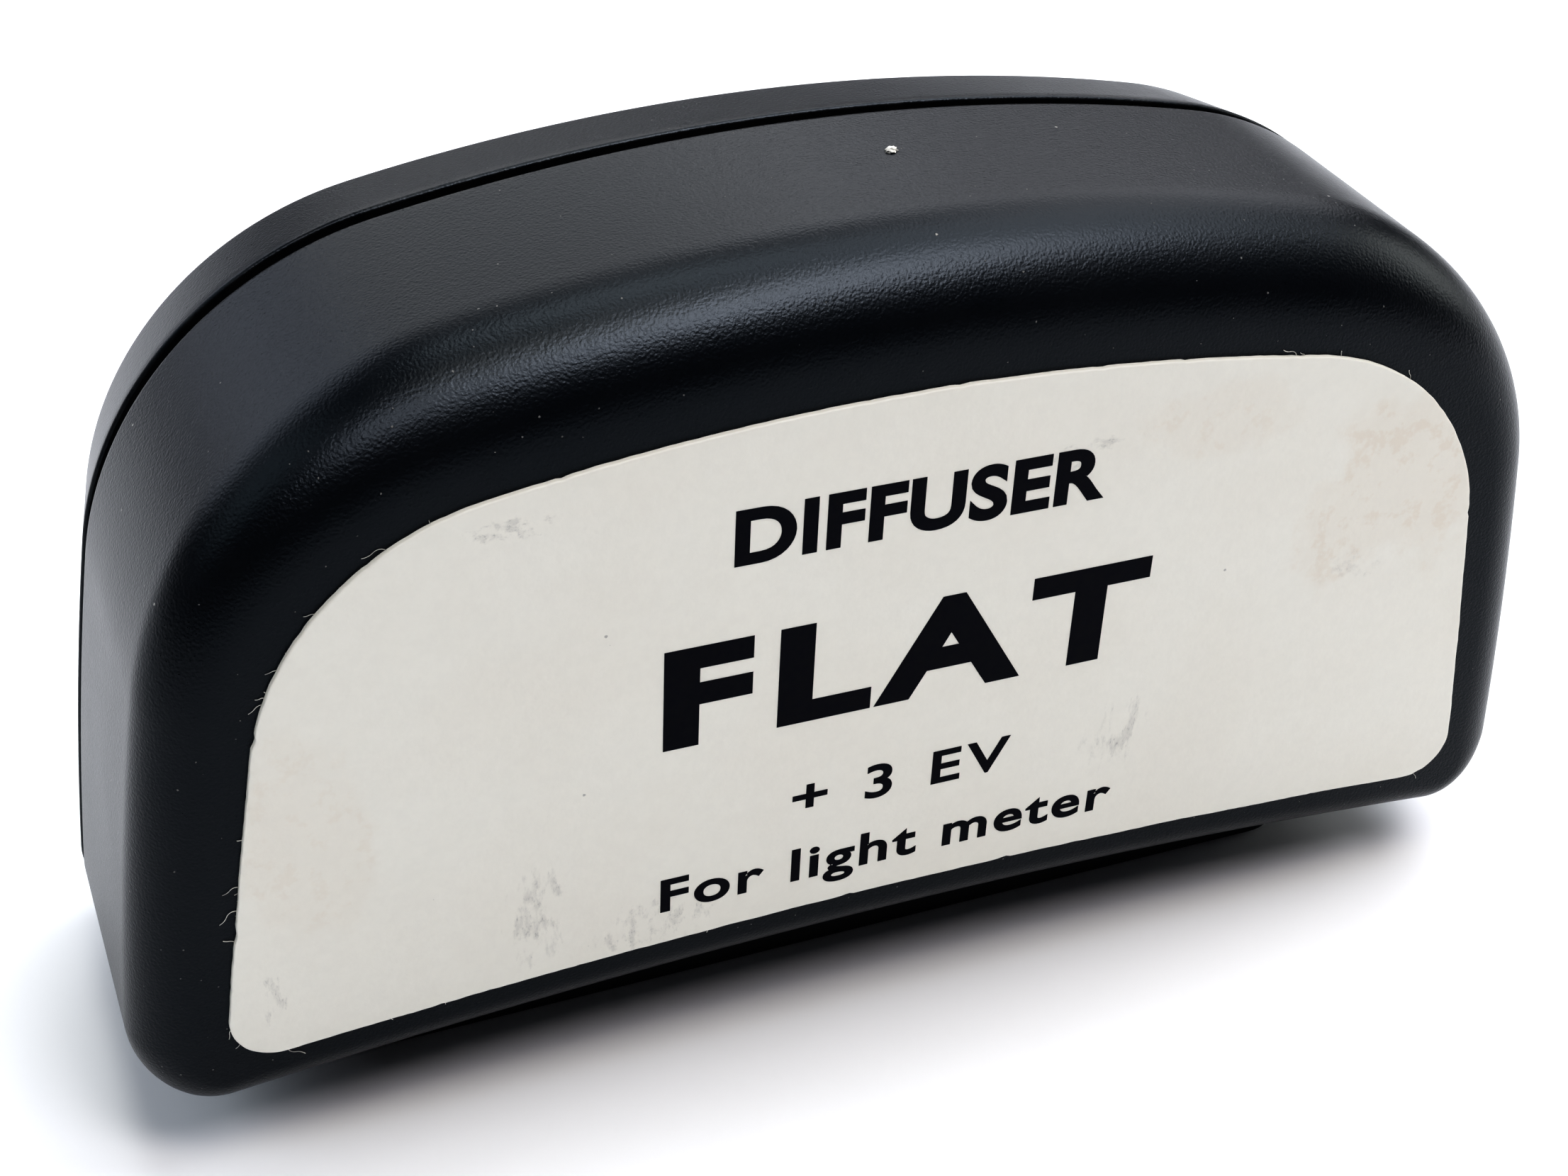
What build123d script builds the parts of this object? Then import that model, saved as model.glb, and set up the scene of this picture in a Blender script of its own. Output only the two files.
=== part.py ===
"""Copy-work flat diffuser that plugs onto the head of a handheld light meter.

Frame: millimetres, +X to the right as the label is read, +Y from the label to the diffuser window,
+Z up. The origin is on the surface that the mounting plug stands on, under the middle of the body.
"""
from build123d import *
from dataclasses import dataclass
from math import asin, degrees, radians, sin
import os

os.makedirs("parts", exist_ok=True)


@dataclass
class ArchedForm:
    """Half of a symmetric outline, as arcs that run on from each other (turns in degrees)."""
    top: float          # height of the crown above the origin
    top_r: float
    top_turn: float
    corner_r: float
    corner_turn: float
    side_r: float
    side_turn: float
    foot_r: float
    arch_r: float       # hollow arch of the base


# ---- driving dimensions ----
BODY = ArchedForm(top=39.9, top_r=97.4, top_turn=11.6, corner_r=17, corner_turn=69.2,
                  side_r=222, side_turn=4.35, foot_r=3.75, arch_r=308)
LABEL = ArchedForm(top=33.95, top_r=110.8, top_turn=9.85, corner_r=12.2, corner_turn=70.9,
                   side_r=565, side_turn=1.39, foot_r=2.2, arch_r=356)

LABEL_Y = -10.25            # outer face of the label
FRONT_Y = -10.0             # front face of the body
SEAM_Y = 4.1                # rear rim of the front shell
SEAM_GAP = 0.8
REAR_Y = 10.25
WALL = 1.6
FRONT_ROUND = 3.0
COVER_TAPER = 10.5          # degrees
COVER_ROUND = 0.9
REAR_WALL = 1.8
TONGUE_GAP = 0.15
TONGUE_T = 1.0
TONGUE_L = 2.0

PLUG_W = 52.0
PLUG_D = 11.0
PLUG_CORNER = 2.5
PLUG_TOP = 8.2
FLANGE_W = 57.0
FLANGE_FRONT = -7.3
FLANGE_REAR = 2.7
FLANGE_GAP = 0.05
PASSAGE_GAP = 0.2
TUBE_W = 34.0
TUBE_D = 7.0
EXIT_W = 36.0
EXIT_D = 9.0
EXIT_T = 1.0
EXIT_RECESS = 0.3

SCREW_PLACES = [(28.5, 12.0), (21.8, 32.4)]     # lower and upper pair, right side
BOSS_R = 2.4
THREAD_R = 0.95
TAPPED_R = 1.0
SHANK_HOLE_R = 1.15
HEAD_R = 1.7
HEAD_T = 1.2
HEAD_SINK = 0.2
SCREW_L = 12.0
EAR_Y = 0.7
EAR_T = 2.0

WINDOW_W = 42.0
WINDOW_H = 14.0
WINDOW_Z = 19.6
WINDOW_LIP = 2.0
WINDOW_STEP = 0.9
WINDOW_SINK = 0.3
FIT = 0.2
RETAINER_W = 51.0
RETAINER_H = 20.0
RETAINER_T = 1.4
FILTER_W = 44.0
FILTER_H = 16.0
FILTER_T = 0.7
FILTER_POCKET = 0.8
STAKE_X = 24.2
STAKE_Z = 6.0
STAKE_R = 0.6
FOAM_T = 0.8

BOX_W = 46.0
BOX_WALL = 1.2
BOX_TOP = 29.5
BOX_FRONT = -8.2
MIRROR_L = 16.0
MIRROR_T = 1.5
MIRROR_FOOT_Y = -6.6
MIRROR_FOOT_Z = 12.2
SHELF_T = 1.2
CLIP_X = 12.0
CLIP_W = 6.0
CLIP_LEG = 4.0
CLIP_T = 0.35

DETENT_Z = 2.4
DETENT_BORE_R = 1.4
DETENT_NOSE_HOLE_R = 1.0
DETENT_BODY_R = 1.35
DETENT_NOSE_R = 0.95
DETENT_OUT = 0.8
DETENT_STOP_X = 24.8        # shoulder inside the plug that keeps the plunger in
DETENT_TAIL_X = 22.4
CAP_IN_X = 18.4
CAP_OUT_X = 19.6
SPRING_R = 0.95
WIRE_R = 0.13
SPRING_TURNS = 4.5

# ---- places worked out from them ----
cover_y = SEAM_Y + SEAM_GAP
rear_inside = REAR_Y - REAR_WALL
tongue_out = WALL + TONGUE_GAP
tongue_in = tongue_out + TONGUE_T
tongue_y = cover_y - TONGUE_L
retainer_y = rear_inside - RETAINER_T
box_rear = retainer_y - FOAM_T
box_floor = PLUG_TOP + FOAM_T
box_bay_top = BOX_TOP - BOX_WALL
window_deep = rear_inside + WINDOW_STEP
screw_places = [(side * x, z) for x, z in SCREW_PLACES for side in (1, -1)]
head_y = REAR_Y - HEAD_SINK - HEAD_T


def upright(y):
    """Plane across the body at depth y that faces the rear, so that extrude goes towards +Y."""
    return Plane(origin=(0, y, 0), x_dir=(-1, 0, 0), z_dir=(0, 1, 0))


def arched_outline(form, inset=0.0, mode=Mode.ADD):
    """Face of the form in the open sketch, pulled in by inset all round."""
    heading = radians(form.top_turn + form.corner_turn + form.side_turn)
    with BuildLine() as rim:
        top = JernArc((0, form.top - inset), (1, 0), form.top_r - inset, -form.top_turn)
        corner = JernArc(top @ 1, top % 1, form.corner_r - inset, -form.corner_turn)
        side = JernArc(corner @ 1, corner % 1, form.side_r - inset, -form.side_turn)
        foot_centre_x = (side @ 1).X - (form.foot_r - inset) * sin(heading)
        arch_turn = degrees(asin(foot_centre_x / (form.arch_r + form.foot_r)))
        foot_turn = 180 + arch_turn - degrees(heading)
        foot = JernArc(side @ 1, side % 1, form.foot_r - inset, -foot_turn)
        JernArc(foot @ 1, foot % 1, form.arch_r + inset, arch_turn)
        mirror(about=Plane.YZ)
    make_face(rim.edges(), mode=mode)


def edge_of_flat(part, y):
    """Edges round the flat face that lies across the body at depth y."""
    return part.faces().filter_by(Axis.Y).filter_by_position(Axis.Y, y - 0.01, y + 0.01).edges()


def finish(piece, name):
    """Label a finished piece and write its file."""
    piece.part.label = name
    export_step(piece.part, f"parts/{name}.step")


with BuildSketch() as arch_probe:
    arched_outline(BODY)
arch_centre_z = arch_probe.edges().sort_by(SortBy.RADIUS)[-1].arc_center.Y

# ---- front shell: tray with the label face, screw bosses and ribs ----
with BuildPart() as front_shell:
    with BuildSketch(upright(FRONT_Y)):
        arched_outline(BODY)
    extrude(amount=SEAM_Y - FRONT_Y)
    fillet(edge_of_flat(front_shell, FRONT_Y), FRONT_ROUND)
    with BuildSketch(upright(FRONT_Y + WALL)):
        arched_outline(BODY, WALL)
    extrude(amount=SEAM_Y - FRONT_Y - WALL, mode=Mode.SUBTRACT)
    fillet(edge_of_flat(front_shell, FRONT_Y + WALL), FRONT_ROUND - WALL)
    with BuildSketch(upright(FRONT_Y + WALL / 2)):
        with Locations(*[p for p in screw_places if p[1] > WINDOW_Z]):
            Circle(BOSS_R)
    extrude(amount=FLANGE_REAR - FRONT_Y - WALL / 2)
    with BuildSketch(upright(FRONT_Y + WALL / 2)):
        with Locations(*[p for p in screw_places if p[1] < WINDOW_Z]):
            Circle(BOSS_R)
    extrude(amount=EAR_Y - 0.1 - FRONT_Y - WALL / 2)
    with BuildSketch(upright(head_y - SCREW_L - 0.7)):
        with Locations(*screw_places):
            Circle(TAPPED_R)
    extrude(amount=SCREW_L, mode=Mode.SUBTRACT)
    with BuildSketch(upright(FRONT_Y + WALL / 2)):
        with Locations(*[(side * (BOX_W / 2 + 0.8), WINDOW_Z) for side in (1, -1)]):
            Rectangle(BOX_WALL, 10)
    extrude(amount=FLANGE_REAR - 0.2 - FRONT_Y - WALL / 2)
    with BuildSketch(Plane.XY):
        RectangleRounded(PLUG_W + 2 * PASSAGE_GAP, PLUG_D + 2 * PASSAGE_GAP, PLUG_CORNER)
    extrude(amount=box_floor, mode=Mode.SUBTRACT)
finish(front_shell, "front_shell")

# ---- rear cover: tapered lid with the window, pillars and a light-trap tongue ----
with BuildPart() as rear_cover:
    with BuildSketch(upright(cover_y)):
        arched_outline(BODY)
    extrude(amount=REAR_Y - cover_y, taper=COVER_TAPER)
    fillet(edge_of_flat(rear_cover, REAR_Y), COVER_ROUND)
    with BuildSketch(upright(cover_y)):
        arched_outline(BODY, tongue_in)
    extrude(amount=rear_inside - cover_y, mode=Mode.SUBTRACT)
    with BuildSketch(upright(tongue_y)):
        arched_outline(BODY, tongue_out)
        arched_outline(BODY, tongue_in, mode=Mode.SUBTRACT)
    extrude(amount=TONGUE_L)
    with BuildSketch(upright(FLANGE_REAR + 0.1)):
        with Locations(*screw_places):
            Circle(BOSS_R)
    extrude(amount=rear_inside - FLANGE_REAR)
    with BuildSketch(upright(FLANGE_REAR)):
        with Locations(*screw_places):
            Circle(SHANK_HOLE_R)
    extrude(amount=REAR_Y - FLANGE_REAR, mode=Mode.SUBTRACT)
    with BuildSketch(upright(head_y)):
        with Locations(*screw_places):
            Circle(HEAD_R + FIT)
    extrude(amount=HEAD_T + HEAD_SINK, mode=Mode.SUBTRACT)
    with BuildSketch(upright(rear_inside)):
        with Locations((0, WINDOW_Z)):
            RectangleRounded(WINDOW_W, WINDOW_H, 2)
    extrude(amount=REAR_WALL, mode=Mode.SUBTRACT)
    with BuildSketch(upright(rear_inside)):
        with Locations((0, WINDOW_Z)):
            RectangleRounded(WINDOW_W + 2 * WINDOW_LIP, WINDOW_H + 2 * WINDOW_LIP, 2.5)
    extrude(amount=WINDOW_STEP, mode=Mode.SUBTRACT)
    with BuildSketch(upright(retainer_y - 0.4)):
        with Locations((0, WINDOW_Z)):
            with GridLocations(2 * STAKE_X, 2 * STAKE_Z, 2, 2):
                Circle(STAKE_R)
    extrude(amount=RETAINER_T + 0.6)
    with BuildSketch(Plane.XY):
        RectangleRounded(PLUG_W + 2 * PASSAGE_GAP, PLUG_D + 2 * PASSAGE_GAP, PLUG_CORNER)
    extrude(amount=box_floor, mode=Mode.SUBTRACT)
finish(rear_cover, "rear_cover")

# ---- seam gasket: foam cord at the bottom of the shadow gap ----
with BuildPart() as seam_gasket:
    with BuildSketch(upright(SEAM_Y)):
        arched_outline(BODY, WALL - 0.7)
        arched_outline(BODY, WALL + 0.1, mode=Mode.SUBTRACT)
    extrude(amount=SEAM_GAP)
    with BuildSketch(Plane.XY):
        Rectangle(PLUG_W + 2 * PASSAGE_GAP, PLUG_D + 2 * PASSAGE_GAP)
    extrude(amount=box_floor, mode=Mode.SUBTRACT)
finish(seam_gasket, "seam_gasket")

# ---- front label: printed plate on the front face ----
with BuildPart() as front_label:
    with BuildSketch(upright(LABEL_Y)):
        arched_outline(LABEL)
    extrude(amount=FRONT_Y - LABEL_Y)
finish(front_label, "front_label")

# ---- diffuser window: stepped opal plate that fills the cover's opening ----
with BuildPart() as diffuser_window:
    with BuildSketch(upright(rear_inside)):
        with Locations((0, WINDOW_Z)):
            RectangleRounded(WINDOW_W + 2 * (WINDOW_LIP - FIT), WINDOW_H + 2 * (WINDOW_LIP - FIT), 2.3)
    extrude(amount=WINDOW_STEP)
    with BuildSketch(upright(window_deep)):
        with Locations((0, WINDOW_Z)):
            RectangleRounded(WINDOW_W - 2 * FIT, WINDOW_H - 2 * FIT, 1.8)
    extrude(amount=REAR_Y - WINDOW_SINK - window_deep)
finish(diffuser_window, "diffuser_window")

# ---- diffuser retainer: frame staked inside the cover, with a pocket for the filter ----
with BuildPart() as diffuser_retainer:
    with BuildSketch(upright(retainer_y)):
        with Locations((0, WINDOW_Z)):
            RectangleRounded(RETAINER_W, RETAINER_H, 2)
            Rectangle(FILTER_W - 4, FILTER_H - 4, mode=Mode.SUBTRACT)
            with GridLocations(2 * STAKE_X, 2 * STAKE_Z, 2, 2):
                Circle(STAKE_R + 0.05, mode=Mode.SUBTRACT)
    extrude(amount=RETAINER_T)
    with BuildSketch(upright(rear_inside - FILTER_POCKET)):
        with Locations((0, WINDOW_Z)):
            Rectangle(FILTER_W + 2 * FIT, FILTER_H + 2 * FIT)
    extrude(amount=FILTER_POCKET, mode=Mode.SUBTRACT)
finish(diffuser_retainer, "diffuser_retainer")

# ---- neutral filter: grey plate that sets the light loss ----
with BuildPart() as neutral_filter:
    with BuildSketch(upright(rear_inside - FILTER_POCKET)):
        with Locations((0, WINDOW_Z)):
            Rectangle(FILTER_W, FILTER_H)
    extrude(amount=FILTER_T)
    chamfer(neutral_filter.edges().filter_by(Axis.Y), 0.5)
finish(neutral_filter, "neutral_filter")

# ---- light box: white mixing chamber, open to the window and to the plug ----
slope = Plane(origin=(0, MIRROR_FOOT_Y, MIRROR_FOOT_Z), x_dir=(0, 1, 1), z_dir=(1, 0, 0))
box_half = BOX_W / 2 - BOX_WALL
with BuildPart() as light_box:
    with BuildSketch(upright(BOX_FRONT)):
        with Locations((0, (box_floor + BOX_TOP) / 2)):
            RectangleRounded(BOX_W, BOX_TOP - box_floor, 1.5)
    extrude(amount=box_rear - BOX_FRONT)
    with BuildSketch(upright(BOX_FRONT + BOX_WALL)):
        with Locations((0, (box_floor + BOX_WALL + box_bay_top) / 2)):
            Rectangle(2 * box_half, box_bay_top - box_floor - BOX_WALL)
    extrude(amount=box_rear - BOX_FRONT - BOX_WALL, mode=Mode.SUBTRACT)
    with BuildSketch(Plane.XY.offset(box_floor)):
        Rectangle(EXIT_W, TUBE_D + 1.4)
    extrude(amount=BOX_WALL, mode=Mode.SUBTRACT)
    with BuildSketch(slope):
        with Locations((-0.9, 0)):
            Rectangle(MIRROR_L + 0.9, SHELF_T, align=(Align.MIN, Align.MIN))
            Rectangle(0.85, MIRROR_T + 0.8, align=(Align.MIN, Align.MAX))
    extrude(amount=box_half, both=True)
finish(light_box, "light_box")

# ---- deflecting mirror and the clips over its upper edge ----
with BuildPart() as deflecting_mirror:
    with BuildSketch(slope):
        Rectangle(MIRROR_L, MIRROR_T, align=(Align.MIN, Align.MAX))
    extrude(amount=box_half - 0.3, both=True)
finish(deflecting_mirror, "deflecting_mirror")

for side, hand in ((1, "right"), (-1, "left")):
    with BuildPart() as mirror_clip:
        with BuildSketch(slope.offset(side * CLIP_X)):
            with Locations((MIRROR_L + CLIP_T, SHELF_T + CLIP_T)):
                Rectangle(CLIP_LEG + CLIP_T, MIRROR_T + SHELF_T + 2 * CLIP_T, align=(Align.MAX, Align.MAX))
            with Locations((MIRROR_L, SHELF_T)):
                Rectangle(CLIP_LEG, MIRROR_T + SHELF_T, align=(Align.MAX, Align.MAX), mode=Mode.SUBTRACT)
        extrude(amount=CLIP_W / 2, both=True)
    finish(mirror_clip, f"mirror_clip_{hand}")

# ---- foam frames that keep stray light out of the chamber ----
with BuildPart() as window_gasket:
    with BuildSketch(upright(box_rear)):
        with Locations((0, (box_floor + BOX_TOP) / 2)):
            RectangleRounded(BOX_W, BOX_TOP - box_floor, 1.5)
        with Locations((0, (box_floor + BOX_WALL + box_bay_top) / 2)):
            Rectangle(2 * box_half, box_bay_top - box_floor - BOX_WALL, mode=Mode.SUBTRACT)
    extrude(amount=FOAM_T)
finish(window_gasket, "window_gasket")

with BuildPart() as tube_gasket:
    with BuildSketch(Plane.XY.offset(PLUG_TOP)):
        Rectangle(BOX_W, PLUG_D - 0.2)
        Rectangle(EXIT_W, TUBE_D + 1.4, mode=Mode.SUBTRACT)
    extrude(amount=FOAM_T)
finish(tube_gasket, "tube_gasket")

# ---- mounting plug: collar, flange and ears in one moulding ----
with BuildPart() as mount_plug:
    with BuildSketch(Plane.XY):
        RectangleRounded(PLUG_W, PLUG_D, PLUG_CORNER)
    extrude(amount=PLUG_TOP)
    chamfer(mount_plug.faces().sort_by(Axis.Z)[0].edges(), 0.3)
    with BuildSketch(upright(FLANGE_FRONT)):
        Rectangle(FLANGE_W, PLUG_TOP, align=(Align.CENTER, Align.MIN))
        with Locations((0, arch_centre_z)):
            Circle(BODY.arch_r + WALL + FLANGE_GAP, mode=Mode.SUBTRACT)
    extrude(amount=FLANGE_REAR - FLANGE_FRONT)
    for side in (1, -1):
        with BuildSketch(upright(EAR_Y)):
            with Locations((side * SCREW_PLACES[0][0], SCREW_PLACES[0][1])):
                Circle(BOSS_R)
                Rectangle(2 * BOSS_R, SCREW_PLACES[0][1] - PLUG_TOP + 1, align=(Align.CENTER, Align.MAX))
                Circle(SHANK_HOLE_R, mode=Mode.SUBTRACT)
        extrude(amount=EAR_T)
    with BuildSketch(Plane.XY):
        Rectangle(TUBE_W, TUBE_D)
    extrude(amount=PLUG_TOP, mode=Mode.SUBTRACT)
    with BuildSketch(Plane.XY):
        RectangleRounded(EXIT_W + FIT, EXIT_D + FIT, 1)
    extrude(amount=EXIT_RECESS + EXIT_T + 0.05, mode=Mode.SUBTRACT)
    with BuildSketch(Plane.YZ):
        with Locations((0, DETENT_Z)):
            Circle(DETENT_BORE_R)
    extrude(amount=DETENT_STOP_X, both=True, mode=Mode.SUBTRACT)
    with BuildSketch(Plane.YZ):
        with Locations((0, DETENT_Z)):
            Circle(DETENT_NOSE_HOLE_R)
    extrude(amount=PLUG_W / 2 + 1, both=True, mode=Mode.SUBTRACT)
finish(mount_plug, "mount_plug")

# ---- exit window: clear plate in the foot of the plug ----
with BuildPart() as exit_window:
    with BuildSketch(Plane.XY.offset(EXIT_RECESS)):
        RectangleRounded(EXIT_W, EXIT_D, 0.9)
    extrude(amount=EXIT_T)
finish(exit_window, "exit_window")

# ---- cover screws: four alike, with cross recesses ----
with BuildPart() as cover_screws:
    with BuildSketch(upright(head_y)):
        with Locations(*screw_places):
            Circle(HEAD_R)
    extrude(amount=HEAD_T)
    fillet(cover_screws.edges().group_by(Axis.Y)[-1], 0.4)
    with BuildSketch(upright(head_y - SCREW_L)):
        with Locations(*screw_places):
            Circle(THREAD_R)
    extrude(amount=SCREW_L)
    with BuildSketch(upright(head_y + HEAD_T - 0.7)):
        with Locations(*screw_places):
            Rectangle(2.0, 0.45)
            Rectangle(0.45, 2.0)
    extrude(amount=1, mode=Mode.SUBTRACT)
finish(cover_screws, "cover_screws")

# ---- detents: plunger, spring and cap in each end of the plug ----
for side, hand in ((1, "right"), (-1, "left")):
    end_plane = Plane(origin=(0, 0, DETENT_Z), x_dir=(0, 1, 0), z_dir=(side, 0, 0))
    with BuildPart() as detent_plunger:
        with BuildSketch(end_plane.offset(DETENT_TAIL_X)):
            Circle(DETENT_BODY_R)
        extrude(amount=DETENT_STOP_X - 0.05 - DETENT_TAIL_X)
        with BuildSketch(end_plane.offset(DETENT_TAIL_X)):
            Circle(DETENT_NOSE_R)
        extrude(amount=PLUG_W / 2 + DETENT_OUT - DETENT_TAIL_X)
        nose_edge = detent_plunger.edges().filter_by(GeomType.CIRCLE).sort_by(Axis.X)
        fillet(nose_edge[-1] if side > 0 else nose_edge[0], DETENT_NOSE_R - 0.05)
    finish(detent_plunger, f"detent_plunger_{hand}")

    with BuildPart() as spring_cap:
        with BuildSketch(end_plane.offset(CAP_IN_X)):
            Circle(DETENT_BORE_R - 0.02)
        extrude(amount=CAP_OUT_X - CAP_IN_X)
    finish(spring_cap, f"spring_cap_{hand}")

    with BuildPart() as detent_spring:
        coil_l = DETENT_TAIL_X - CAP_OUT_X - 2 * WIRE_R - 0.04
        coil_start = (side * (CAP_OUT_X + WIRE_R + 0.02), 0, DETENT_Z)
        with BuildLine() as coil:
            Helix(coil_l / SPRING_TURNS, coil_l, SPRING_R, center=coil_start, direction=(side, 0, 0))
        with BuildSketch(Plane(origin=coil.line @ 0, z_dir=coil.line % 0)):
            Circle(WIRE_R)
        sweep()
    finish(detent_spring, f"detent_spring_{hand}")
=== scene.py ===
"""Visual model of a plug-on flat diffuser for a handheld light meter, built round its packed frame.

Everything is in metres in the frame's own axes: +X to the right as the label is read, +Y from the
label to the diffuser window, +Z up, with the origin on the surface that the plug stands on.
"""

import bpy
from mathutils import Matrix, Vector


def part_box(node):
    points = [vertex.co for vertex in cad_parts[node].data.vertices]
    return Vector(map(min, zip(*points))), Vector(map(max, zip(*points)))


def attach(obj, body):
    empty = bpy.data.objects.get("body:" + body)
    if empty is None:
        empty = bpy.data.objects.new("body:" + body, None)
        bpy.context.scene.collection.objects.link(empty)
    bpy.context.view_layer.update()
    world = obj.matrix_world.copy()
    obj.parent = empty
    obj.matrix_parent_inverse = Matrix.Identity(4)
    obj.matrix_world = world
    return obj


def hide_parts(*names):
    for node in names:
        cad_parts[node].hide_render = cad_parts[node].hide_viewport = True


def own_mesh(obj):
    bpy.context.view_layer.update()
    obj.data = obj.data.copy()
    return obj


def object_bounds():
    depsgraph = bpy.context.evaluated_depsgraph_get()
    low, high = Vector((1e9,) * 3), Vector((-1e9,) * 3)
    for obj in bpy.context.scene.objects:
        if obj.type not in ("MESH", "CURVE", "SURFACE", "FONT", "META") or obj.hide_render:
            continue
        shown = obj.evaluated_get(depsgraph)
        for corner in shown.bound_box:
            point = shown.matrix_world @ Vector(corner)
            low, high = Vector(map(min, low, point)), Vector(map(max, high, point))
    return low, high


bl_info = {
    "name": "Flat Diffuser Attachment",
    "version": (1, 0, 0),
    "blender": (4, 5, 0),
    "location": "3D View > Sidebar > Diffuser",
    "description": "Builds the moulded shells, label, windows and fittings of a plug-on flat diffuser",
    "category": "Add Mesh",
}

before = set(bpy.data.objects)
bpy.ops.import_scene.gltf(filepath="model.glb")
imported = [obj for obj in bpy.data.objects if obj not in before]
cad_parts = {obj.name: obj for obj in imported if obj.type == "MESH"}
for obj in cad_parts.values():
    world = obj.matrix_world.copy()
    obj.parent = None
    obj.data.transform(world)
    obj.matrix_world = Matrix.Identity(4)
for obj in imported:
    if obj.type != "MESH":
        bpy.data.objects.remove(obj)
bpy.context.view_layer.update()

from math import asin, atan2, cos, pi, radians, sin, tan
import random

import bmesh
import bpy
from bpy.props import FloatProperty, FloatVectorProperty, PointerProperty, StringProperty
from mathutils import Matrix, Vector, noise

MM = 0.001
CAD_MIDDLE = sum(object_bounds(), Vector()) / 2

shell_low, shell_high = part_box("front_shell")
cover_low, cover_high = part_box("rear_cover")
label_low, label_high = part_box("front_label")
window_low, window_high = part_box("diffuser_window")
gasket_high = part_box("seam_gasket")[1]
plug_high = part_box("mount_plug")[1]
chamber_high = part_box("light_box")[1]
tube_gasket_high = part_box("tube_gasket")[1]

HOLD = 0.4 * MM                     # width of the flat strip that keeps shading off a rounding
POST_ENDS = (0.6 * MM, 2.7 * MM)    # depth that the lower and upper screw bosses reach
RIB_HALF = Vector((0.6, 0, 5)) * MM     # half the thickness and height of a rib beside the chamber
RIB_OUT = 0.8 * MM                  # from the chamber's wall to the middle of a rib
NOSE_LENGTH = 2.05 * MM             # from a plunger's tip back to its shoulder
PLUG_SHOWN = 8 * MM                 # height up to which the plug's edges are softened
PLUG_SKIN = 4.6 * MM                # depth from the middle beyond which an edge is on the plug's outside
WINDOW_CORNERS = (2.3 * MM, 1.8 * MM)       # corner radii of the window's lip and plate
OPENING_CORNERS = (2.5 * MM, 2.0 * MM)      # corner radii of the cover's recess and opening
SPARE_BORE = 0.7 * MM               # how far a thread bore goes on past the screw's tip

# Steps of an outline's arcs: half the crown, shoulder, side, foot, and half the base
ARC_STEPS = (44, 40, 16, 20, 50)
LABEL_STEPS = (80, 64, 56, 24, 130)


# ---------------------------------------------------------------- settings
def distance(name, text, value):
    """Length property in metres."""
    return FloatProperty(name=name, description=text, default=value, min=0, subtype="DISTANCE",
                         unit="LENGTH", precision=5)


def turn(name, text, degrees):
    """Angle property, with its default in degrees."""
    return FloatProperty(name=name, description=text, default=radians(degrees), subtype="ANGLE")


def colour(name, text, value):
    """Colour property with three linear channels."""
    return FloatVectorProperty(name=name, description=text, default=value, size=3, min=0, max=1,
                               subtype="COLOR")


class BodyOutline(bpy.types.PropertyGroup):
    """Arcs of the body's outline, from the crown round to the middle of the base."""
    top_radius: distance("Top radius", "Radius of the crowned top", 97.4 * MM)
    top_turn: turn("Top turn", "Turn of half the crowned top", 11.6)
    corner_radius: distance("Shoulder radius", "Radius of the upper corners", 17 * MM)
    corner_turn: turn("Shoulder turn", "Turn of one upper corner", 69.2)
    side_radius: distance("Side radius", "Radius of the bowed sides", 222 * MM)
    side_turn: turn("Side turn", "Turn of one side", 4.35)
    foot_radius: distance("Foot radius", "Radius of the lower corners", 3.75 * MM)
    arch_radius: distance("Arch radius", "Radius of the hollow base", 308 * MM)


class LabelOutline(bpy.types.PropertyGroup):
    """Arcs of the label's outline, from the crown round to the middle of the base."""
    top_radius: distance("Top radius", "Radius of the crowned top", 110.8 * MM)
    top_turn: turn("Top turn", "Turn of half the crowned top", 9.85)
    corner_radius: distance("Shoulder radius", "Radius of the upper corners", 12.2 * MM)
    corner_turn: turn("Shoulder turn", "Turn of one upper corner", 70.9)
    side_radius: distance("Side radius", "Radius of the bowed sides", 565 * MM)
    side_turn: turn("Side turn", "Turn of one side", 1.39)
    foot_radius: distance("Foot radius", "Radius of the lower corners", 2.2 * MM)
    arch_radius: distance("Arch radius", "Radius of the hollow base", 356 * MM)
    edge_round: distance("Edge rounding", "Radius of the label's front edge", 0.07 * MM)
    waver: distance("Waver", "How far the cut edge wanders", 0.05 * MM)
    nick: distance("Nick depth", "Depth of the small nicks in the cut edge", 0.22 * MM)


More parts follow.
